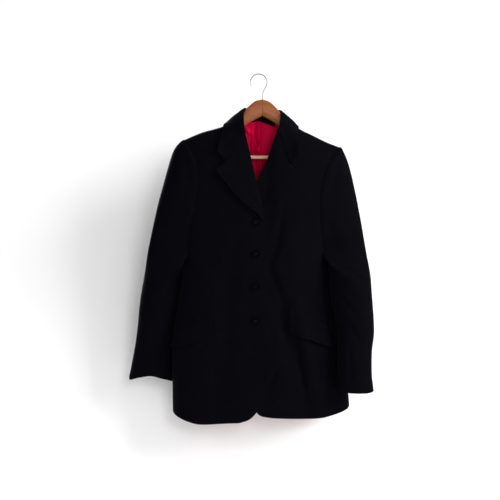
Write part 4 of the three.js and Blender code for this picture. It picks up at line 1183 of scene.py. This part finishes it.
def lapel(side, gorge):
    # gorge: x, z of the collar's end from its roll to the notch, to which the lapel's top row is sewn;
    # columns go round the roll by half a turn and out to the edge, and two more rows lie under the collar
    own, stations = lapels[side], len(lapels[side]["rollX"])
    at = np.linspace(0, stations - 1, lapelMake["rows"])[:, None]
    u = np.linspace(0, 1, lapelMake["cols"])[None, :] ** 1.2
    up = at / (stations - 1)
    sewn = np.linspace(0, 1, len(gorge))
    tuck = lapelMake["tuck"] * np.array([[0.35], [1.0]])
    places = []
    for i, (axis, under) in enumerate((("X", 0.8 * signOf[side]), ("Z", 0.6))):
        p = lerp(sampleRows(own, at, "roll" + axis), sampleRows(own, at, "edge" + axis), u)
        p = p + ramp(up, 0.7, 1) * (np.interp(u, sewn, gorge[:, i]) - p[-1:])
        places.append(np.concatenate([p, p[-1:] + tuck * under]))
    x, z = places
    up = np.concatenate([up, [[1.0], [1.0]]])
    base = frontPoint(side, x, dropOf(x, z))
    out = gridNormals(base, forwards)
    clear = ramp(x, 0, 30) if side == "right" else 1
    bulge = lapelMake["bulge"] * np.sin(np.pi * np.minimum(u * 2.2, 1))
    bulge = bulge + lapelMake["stand"][side] * ramp(u, 0.1, 1)
    low = make["cloth"] + 3 * make["rest"] + clear * bulge * ramp(up, 0, 0.25)
    seamLift = lapelMake["collarClear"] + lapelMake["collarStand"][side] * lapelMake["notchAlong"] * u
    lift = lerp(low, seamLift + lapelMake["overSeam"], ramp(up, 0.72, 1))
    lift[-2:] *= [[0.55], [0.3]]
    inwards = unit(base[:, 1] - base[:, 0])
    turn = np.linspace(np.pi, 0, lapelMake["rollCols"], endpoint=False)[None, :, None]
    half = lift[:, :1, None] / 2
    roll = base[:, :1] + out[:, :1] * half * (1 + np.cos(turn)) - inwards[:, None] * half * np.sin(turn)
    points = np.concatenate([roll, base + out * lift[..., None]], axis=1)
    wearer = wearerOf[side]
    clothPiece("lapel" + wearer, points, forwards, ["right", "last"], [woolStitched, wool])


# pocket flaps

flapMake = {"rows": 34, "cols": 64, "tuck": 2.6, "stand": 3.0, "corner": 5.0, "wave": 0.5}


def flap(side):
    # straight from the sewn line down to the lower edge, standing off more and more, most at the outer corner
    at = np.linspace(0, 3, flapMake["cols"])[None, :]
    down = np.linspace(0, 1, flapMake["rows"])[:, None] ** 1.2
    x, z = (lerp(sampleRows(flaps[side], at, "top" + axis), sampleRows(flaps[side], at, "low" + axis), down)
            for axis in "XZ")
    base = sidePoint(side, -turnAt(side, x, z), z)
    away = forwards + np.array([0.2 * signOf[side], 0, 0])
    lift = make["cloth"] + make["rest"] + down * (flapMake["stand"] + flapMake["corner"] * (at / 3) ** 2)
    lift = lift - flapMake["tuck"] * (1 - ramp(down, 0, 0.08))
    points = raised(base, away, lift + flapMake["wave"] * np.sin(at * 4.1 + 1) * down)
    wearer = wearerOf[side]
    clothPiece("flap" + wearer, points, away, ["last", "left", "right"], [woolStitched, satin])


# collar

collarMake = {
    "stations": 150,
    "steps": 64,
    "foldRadius": 2.6,
    "crown": 2.5,  # the fall is rounded by this much
    "ends": 1.3,  # over so many stations the ends take the form of the notch
    "endSink": 3.2,  # and the last rows sink behind the lapel
    "endSinkOver": 0.22,
}
collarEnds = {"left": (-92.0, -228.0), "right": (72.3, -234.5)}  # where the lapel's notch meets it: x, z


def clearOfCoat(p, gap):
    # pushes points out of the arch, along rays from its middle, until they stand off by the gap
    x, y, z = np.moveaxis(p, -1, 0)
    mid = make["skew"] * x
    face = np.where(y < mid, -1, 1)
    arch = shoulderHeight(x) - make["archHeight"]
    surface = onTorso(face, x, np.minimum(arch, z))[..., 1]
    reach = np.abs(surface - mid)
    across, up = (y - mid) / reach, (z - arch) / make["archHeight"]
    far = np.hypot(across, up)
    size = np.hypot(reach * across, make["archHeight"] * up) / far
    grow = np.maximum((1 + gap / size) / far, 1)
    below = z <= arch
    newY = np.where(below, face * np.maximum(face * y, face * surface + gap), mid + (y - mid) * grow)
    return grid3(x, newY, np.where(below, z, arch + (z - arch) * grow))


def centripetal(points, count):
    # a Catmull-Rom curve with root-distance knots through points[:, k], for all rows at once:
    # p1 + t1 w + (3 (p2 - p1) - 2 t1 - t2) w^2 + (2 (p1 - p2) + t1 + t2) w^3
    before = 2 * points[:, :1] - points[:, 1:2]
    after = 2 * points[:, -1:] - points[:, -2:-1]
    p = np.concatenate([before, points, after], axis=1)
    gaps = np.maximum(np.linalg.norm(np.diff(p, axis=1), axis=-1), 1e-6) ** 0.5
    t = np.linspace(0, points.shape[1] - 1, count)
    i = np.minimum(t.astype(int), points.shape[1] - 2)
    w = (t - i)[None, :, None]
    p0, p1, p2, p3 = (p[:, i + k] for k in range(4))
    g0, g1, g2 = (gaps[:, i + k][..., None] for k in range(3))
    t1 = ((p1 - p0) / g0 - (p2 - p0) / (g0 + g1) + (p2 - p1) / g1) * g1
    t2 = ((p2 - p1) / g1 - (p3 - p1) / (g1 + g2) + (p3 - p2) / g2) * g1
    return p1 + t1 * w + (3 * (p2 - p1) - 2 * t1 - t2) * w**2 + (2 * (p1 - p2) + t1 + t2) * w**3


def collar():
    # at each station a curve from the neck seam up the stand, round the roll and down the fall to the edge;
    # returns x, z of both ends between roll and notch, for the lapels
    count = len(collarStations["neckX"])
    at = np.linspace(0, count - 1, collarMake["stations"])
    neck, roll, edge = (np.stack([sampleRows(collarStations, at, what + axis) for axis in "XYZ"], -1)
                        for what in ("neck", "roll", "edge"))
    fall, stand = edge - roll, neck - roll
    flat = unit(stand)
    out = unit(fall - flat * (fall * flat).sum(-1, keepdims=True))
    radius = collarMake["foldRadius"]
    controls = [neck - out * radius * 0.5, roll + stand * 0.25 - out * radius, roll,
                roll + fall * 0.12 + out * radius * 0.6]
    fromEnd = np.minimum(at, count - 1 - at)
    toEnd = 1 - ramp(fromEnd, 0, collarMake["ends"])
    mark = lapelMake["notchAlong"]
    offCoat = lerp(*lapelMake["collarStand"].values(), ramp(at, 0, count - 1))
    for t in (0.3, 0.52, mark, 0.86, 1.0):
        p = roll + fall * t + out * collarMake["crown"] * np.sin(np.pi * t)
        bend = t / mark if t < mark else (1 - t) / (1 - mark)
        for end, axis in enumerate((0, 2)):
            place = bySide(at - (count - 1) / 2, collarEnds["left"][end], collarEnds["right"][end])
            p[:, axis] += toEnd * bend * (place - lerp(roll[:, axis], edge[:, axis], mark))
        controls.append(clearOfCoat(p, lapelMake["collarClear"] + offCoat * t))
    steps = collarMake["steps"]
    points = centripetal(np.stack(controls, axis=1), steps)
    atEnd = 1 - ramp(fromEnd, 0, collarMake["endSinkOver"])
    points[:, steps // 3 :, 1] += collarMake["endSink"] * atEnd[:, None]
    away = (points - np.array([0.0, -10.0, -60.0])) * np.array([1.0, 1.0, 0.3])
    away[:, : steps // 4] = 0
    clothPiece("coatCollar", points, away, ["right", "first", "last"], [woolStitched, wool],
               node="collar")
    sewn = points[:, steps // 4 : steps * 3 // 4 + 1, [0, 2]]
    return {"left": sewn[0], "right": sewn[-1]}


# back lining and label

liningMake = {
    "rows": 120,
    "cols": 150,
    "lowest": -330.0,
    "start": {"left": -3.0, "right": -12.0},
    "reach": 92.0,
    "belowNeck": 6.0,
    "pleat": 8.5,  # the pleat's edge stands off the other half by this
    "hollow": 6.8,  # and beside it the other half falls back by this
    "hollowOver": (3, 8.5),
    "ribs": 0.8,
}
pleatEdge = {"z": [-330, -215, -206, -193, -178, -152, -128], "x": [-8, -9, -7.3, -13.8, -8.8, -13.8, -12.2]}
liningCreases = [  # from x, z to x, z, width, deep, bow; each a rib raised towards the wearer
    (-4.7, -120, -6, -330, 1.8, 2.4, 0.5),
    (-28, -128, -25, -330, 5, 4.4, -1.5),
    (-48, -126, -27, -156, 6, 4.5, 2),
    (-42, -160, -27, -212, 6, 4.0, 2),
    (-36, -215, -27, -330, 5, 3.0, -2),
    (-62, -170, -52, -330, 9, 1.8, -2),
    (0, -200, -2, -330, 3.5, 4.5, 1),
    (10, -200, 6, -330, 4, 4.5, -1),
    (36, -130, 24, -330, 8, 3.0, -3),
    (66, -200, 60, -330, 8, 1.4, 0),
]


def lining(side):
    # a grid inside the back, from the pleat out to its side and up to the neck; a lift below 0 is inwards
    start, own = liningMake["start"][side], liningMake
    out, up = np.linspace(0, 1, own["cols"])[None, :], np.linspace(0, 1, own["rows"])[:, None]
    x = lerp(start, signOf[side] * own["reach"], out) + 0 * up
    high = np.minimum(sample(neckBack, "x", np.abs(x), "z") - own["belowNeck"], shoulderHeight(x) - 20)
    z = lerp(own["lowest"], high, up)
    pleatX = sample(pleatEdge, "z", z, "x")
    lay = -(make["cloth"] + make["satin"]) / 2 - make["rest"]
    if side == "right":
        x = x + (pleatX - start) * ramp(x, 10, -12)
        lift = lay - 2.2 * ramp(x, -9, 12) - own["pleat"] * ramp(x, 1, -12)
    else:
        lift = lay - 0.5 - 2.1 * (1 - ramp(-x, 60, 92)) - 4 * (1 - ramp(-x, 20, 60))
        lift = lift + own["hollow"] * (1 - ramp(pleatX - x, *own["hollowOver"]))
    inside = ramp(np.abs(x), 90, 60) * ramp(z, high - 4, high - 30)
    lift = lift - own["ribs"] * inside - inside * np.abs(creaseField(liningCreases, x, z))
    points = raised(torsoPoint(1, x, dropOf(x, z)), -forwards, lift)
    clothPiece("liningBack" + wearerOf[side], points, forwards, ["left"], [satin, satin],
               thick=make["satin"])


labelMake = {
    "rows": 14, "cols": 40,
    "fromX": -8.0, "toX": 36.0,
    "low": -117.0, "high": -104.0,
    "tilt": 0.36,
    "lift": -11.4,
    "wave": 0.5,
}


def label():
    # a slanted strip inside the lining, lifted by a slow wave; nothing is woven into it
    across, up = np.linspace(0, 1, labelMake["cols"])[None, :], np.linspace(0, 1, labelMake["rows"])[:, None]
    x = lerp(labelMake["fromX"], labelMake["toX"], across) + 0 * up
    z = lerp(labelMake["low"], labelMake["high"], up) - labelMake["tilt"] * x
    lift = labelMake["lift"] + labelMake["wave"] * np.sin(x / 7)
    points = raised(torsoPoint(1, x, dropOf(x, z)), -forwards, lift)
    clothPiece("neckLabel", points, forwards, ["left", "right", "first", "last"], [woolStitched, wool],
               thick=make["satin"])


gorges = collar()
for side in signOf:
    lapel(side, gorges[side])
    flap(side)
    lining(side)
label()
print("collar, lapels, flaps and lining made")

# buttons

buttonMake = {
    "heights": [-385.0, -466.0, -548.0, -636.0],
    "x": -16.0,
    "radius": 9.5,
    "steps": 110,
    "sides": 96,
    "frontFrom": 9,  # the profile's row from which the holes are cut
    "holeRing": 2.3,  # the four holes stand this far from the middle
    "holeRadius": 0.95,
    "holeDeep": 1.9,
    "thread": 0.42,
    "threadLow": 2.1,
    "threadHigh": 1.25,
}
buttonProfile = {  # radius and height of the disc, from the back's middle round the rim to the front's middle
    "r": [0, 7.6, 8.7, 9.3, 9.5, 9.35, 8.9, 8.3, 7.7, 7.0, 6.3, 4.6, 3.2, 0],
    "h": [0, 0, 0.5, 1.3, 2.2, 3.0, 3.6, 3.95, 4.0, 3.7, 3.05, 2.75, 2.65, 2.6],
}


def tube(name, path, radius, sides, materials, node=None):
    # rings of the given radius square to the path: p + radius (one cos(a) + two sin(a))
    ahead = unit(np.gradient(path, axis=0))
    fixed = -forwards if abs(ahead[:, 1]).max() < 0.9 else np.array([1.0, 0, 0])
    one = unit(np.cross(ahead, fixed))
    two = np.cross(ahead, one)
    a = np.linspace(0, 2 * np.pi, sides, endpoint=False)[None, :, None]
    out = one[:, None] * np.cos(a) + two[:, None] * np.sin(a)
    wide = np.broadcast_to(radius, len(path))[:, None, None]
    gridMesh(name, path[:, None] + out * wide, out, materials, closed=True, node=node)


def button(number, high):
    # the profile turned about the button's middle, with four pits in its face and two bars of thread
    own, size, middleX = buttonMake, buttonMake["radius"], buttonMake["x"]
    under = np.array([-size, 0, size])
    cloth = onTorso(-1, middleX + under[None, :], high + under[:, None])
    y = cloth[..., 1].min() - make["cloth"] / 2 - make["rest"]
    steps = np.linspace(0, len(buttonProfile["r"]) - 1, own["steps"])[:, None]
    r = np.maximum(sampleRows(buttonProfile, steps, "r"), 0.02)
    a = np.linspace(0, 2 * np.pi, own["sides"], endpoint=False)[None, :]
    x, z = r * np.cos(a), r * np.sin(a)
    ring = own["holeRing"] / math.sqrt(2)
    hole = np.hypot(np.abs(x) - ring, np.abs(z) - ring)
    pit = own["holeDeep"] * (1 - ramp(hole, own["holeRadius"] - 0.25, own["holeRadius"] + 0.2))
    face = y - sampleRows(buttonProfile, steps, "h") + pit * (steps > own["frontFrom"])
    points = grid3(middleX + x, face, high + z)
    away = points - np.array([middleX, y - 2, high])
    gridMesh(f"button{number}", points, away, [hornLike], closed=True, node=f"button_{number}")
    t = np.linspace(0, 1, 15)
    arc = np.sin(np.pi * t)
    for letter, sx in (("a", -1), ("b", 1)):
        path = grid3(middleX + sx * ring, y - own["threadLow"] - own["threadHigh"] * arc,
                     high + lerp(-ring, ring, t) + 0.15 * sx * arc)
        tube(f"buttonThread{number}{letter}", path, own["thread"], 10, [threadBlack])


for number, high in enumerate(buttonMake["heights"], 1):
    button(number, high)
print("buttons made")

# hanger

hangerMake = {
    "armThickness": 12.5,
    "soft": 0.7,  # exponent of the arms' sections, 1 is an ellipse
    "ring": 48,
    "socket": {"left": 160.0, "right": 158.0},  # x of the bar's ends
    "socketDrop": 226.0,  # lowest point of the arm there
    "socketReach": 24.0,
    "barRadius": 4.5,
    "barHeight": -215.0,
}


def onHanger(points):
    # the hanger hangs turned about its stem as the coat does
    a = math.atan(make["skew"])
    x, y, z = np.moveaxis(points, -1, 0)
    return grid3(x * math.cos(a) - y * math.sin(a), x * math.sin(a) + y * math.cos(a), z)


def arm(side):
    # upright sections from the middle joint to the tip, y = thickness cos^soft(a), z = height sin^soft(a),
    # deepened round the bar's end and drawn in at the tip
    table, sign, socket, soft = hangerArm[side], signOf[side], hangerMake["socket"][side], hangerMake["soft"]
    tip = table["x"][-1]
    x = np.concatenate([[0.15, 0.9], np.linspace(2, socket - 0.6, 70), np.linspace(socket, tip, 40)])[:, None]
    under = shoulderHeight(sign * x) - make["cloth"] / 2 - 2 * make["rest"]
    crown = sample(table, "x", x, "top")
    top = np.where(x < 72, crown, np.minimum(crown, under))
    inSocket = np.where(x >= socket, 1 - ramp(x, socket + hangerMake["socketReach"] * 0.6, tip + 4), 0)
    low = lerp(sample(table, "x", x, "low"), -hangerMake["socketDrop"], inSocket)
    shrink = (1 - 0.55 * ramp(x, tip - 7, tip) ** 2) * (1 - 0.015 * (1 - ramp(x, 0.15, 0.9)))
    a = np.linspace(0, 2 * np.pi, hangerMake["ring"], endpoint=False)[None, :]
    wide, tall = (np.sign(v) * np.abs(v) ** soft for v in (np.cos(a), np.sin(a)))
    z = (top + low) / 2 - (1 - shrink) * 2 + (top - low) / 2 * shrink * tall
    points = onHanger(grid3(sign * x, hangerMake["armThickness"] / 2 * shrink * wide, z))
    away = points - points.mean(axis=1, keepdims=True)
    name, wood = "hangerArm" + wearerOf[side], beech if side == "left" else beechTurned
    gridMesh(name, points, away, [wood], closed=True, node=nodeOf(name))


def trouserBar():
    # a turned rod between the sockets, its ends rounded off and its radius uneven by 0.4 %
    start = -hangerMake["socket"]["left"] + make["rest"]
    end = hangerMake["socket"]["right"] - make["rest"] - 0.4
    x = np.concatenate([[start], np.linspace(start + 0.8, end - 0.8, 60), [end]])
    ends = np.concatenate([[0.85], np.ones(60), [0.85]])
    wide = hangerMake["barRadius"] * ends * (1 + 0.004 * np.sin(x / 9))
    path = onHanger(grid3(x, 0, hangerMake["barHeight"]))
    tube("trouserBar", path, wide, 36, [pine], "trouser_bar")


hookMake = {"bow": 21.6, "wire": 1.6, "from": -30, "to": 206, "rings": 170}
hookStem = {"x": [0, 0, 0.2, 1.4, 4.6], "z": [-64.1, -59, -55, -47, -39.5]}


def hook():
    # the stem's points and then a bow of one radius, in one smooth curve whose end is rounded off
    a = np.radians(np.arange(hookMake["from"], hookMake["to"], 5.0))
    bow, wire = hookMake["bow"], hookMake["wire"]
    x = np.concatenate([hookStem["x"], -make["stemOffset"] + bow * np.cos(a)])
    z = np.concatenate([hookStem["z"], -bow + wire + bow * np.sin(a)])
    path = centripetal(grid3(x, 0, z)[None], hookMake["rings"])[0]
    t = np.linspace(0, 1, hookMake["rings"])
    wide = wire * np.sqrt(np.clip(1 - np.clip((t - 0.988) / 0.0125, 0, 1) ** 2, 0.04, 1))
    tube("hook", path, wide, 20, [drawnWire], "hook")


arm("left")
arm("right")
trouserBar()
hook()
print("hanger made")

# stage, lights and camera, in metres

stageMake = {
    "reach": 6.0,
    "floor": -1.18,
    "floorColour": (0.86, 0.86, 0.86, 1),
    "wall": 0.017,
    "lean": 0.2,  # the wall leans back by this much of its height
    "wallColour": (0.97, 0.97, 0.97, 1),
}


def stagePlane(name, nearY, farY, high, colour):
    # from the floor's height at nearY to the given height at farY, and see-through from behind
    material, tree, shader = nodesOf(name)
    connect(tree, shader.inputs, Base_Color=colour, Roughness=0.9, Specular_IOR_Level=0.1)
    clear = add(tree, "ShaderNodeBsdfTransparent").outputs[0]
    behind = add(tree, "ShaderNodeNewGeometry").outputs["Backfacing"]
    mix = add(tree, "ShaderNodeMixShader")
    for i, value in enumerate((behind, shader.outputs[0], clear)):
        setOrLink(tree, mix.inputs[i], value)
    setOrLink(tree, tree.nodes["Material Output"].inputs[0], mix.outputs[0])
    reach, floor = stageMake["reach"], stageMake["floor"]
    corners = [(-reach, nearY, floor), (reach, nearY, floor), (reach, farY, high), (-reach, farY, high)]
    mesh = bpy.data.meshes.new(name)
    mesh.from_pydata(corners, [], [(0, 1, 2, 3)])
    mesh.materials.append(material)
    mesh.update()
    obj = newObject(name, mesh)
    return obj


reach, floor, wall = stageMake["reach"], stageMake["floor"], stageMake["wall"]
stagePlane("paleFloor", -reach, reach, floor, stageMake["floorColour"])
wallTop = wall + (reach - floor) * stageMake["lean"]
backWall = stagePlane("paleWall", wall, wallTop, reach, stageMake["wallColour"])
backWall.visible_diffuse = backWall.visible_glossy = backWall.visible_shadow = False

lightMake = {
    "key": {"place": (2.4, -1.2, 0.8), "size": 1.6, "power": 100.0},
    "fill": {"place": (0.6, -2.8, 0.1), "size": 0.8, "power": 20.0},
    "rear": {"place": (-1.5, 2.1, 0.5), "size": 1.6, "power": 130.0},
}
lightAim = (0.0, 0.0, -0.48)
for name, light in lightMake.items():
    data = bpy.data.lights.new(name, "AREA")
    data.shape, data.size, data.energy = "SQUARE", light["size"], light["power"]
    lamp = newObject(name, data)
    lamp.location = light["place"]
    x, y, z = np.array(lightAim) - np.array(light["place"])
    lamp.rotation_euler = (math.acos(-z / math.sqrt(x * x + y * y + z * z)), 0, math.atan2(-x, y))

worldLight = 0.45
world = bpy.data.worlds.new("studio")
world.use_nodes = True
connect(world.node_tree, world.node_tree.nodes["Background"].inputs, Color=(1, 1, 1, 1), Strength=worldLight)
bpy.context.scene.world = world
bpy.context.scene.view_settings.view_transform = "Standard"

cameraMake = {"place": (-0.0225, -2.6, -0.456), "lens": 72.0, "sensor": 36.0}
data = bpy.data.cameras.new("camera")
data.lens, data.sensor_width = cameraMake["lens"], cameraMake["sensor"]
camera = newObject("camera", data)
camera.location = cameraMake["place"]
camera.rotation_euler = (math.pi / 2, 0, 0)
bpy.context.scene.camera = camera
print("stage, lights and camera made")
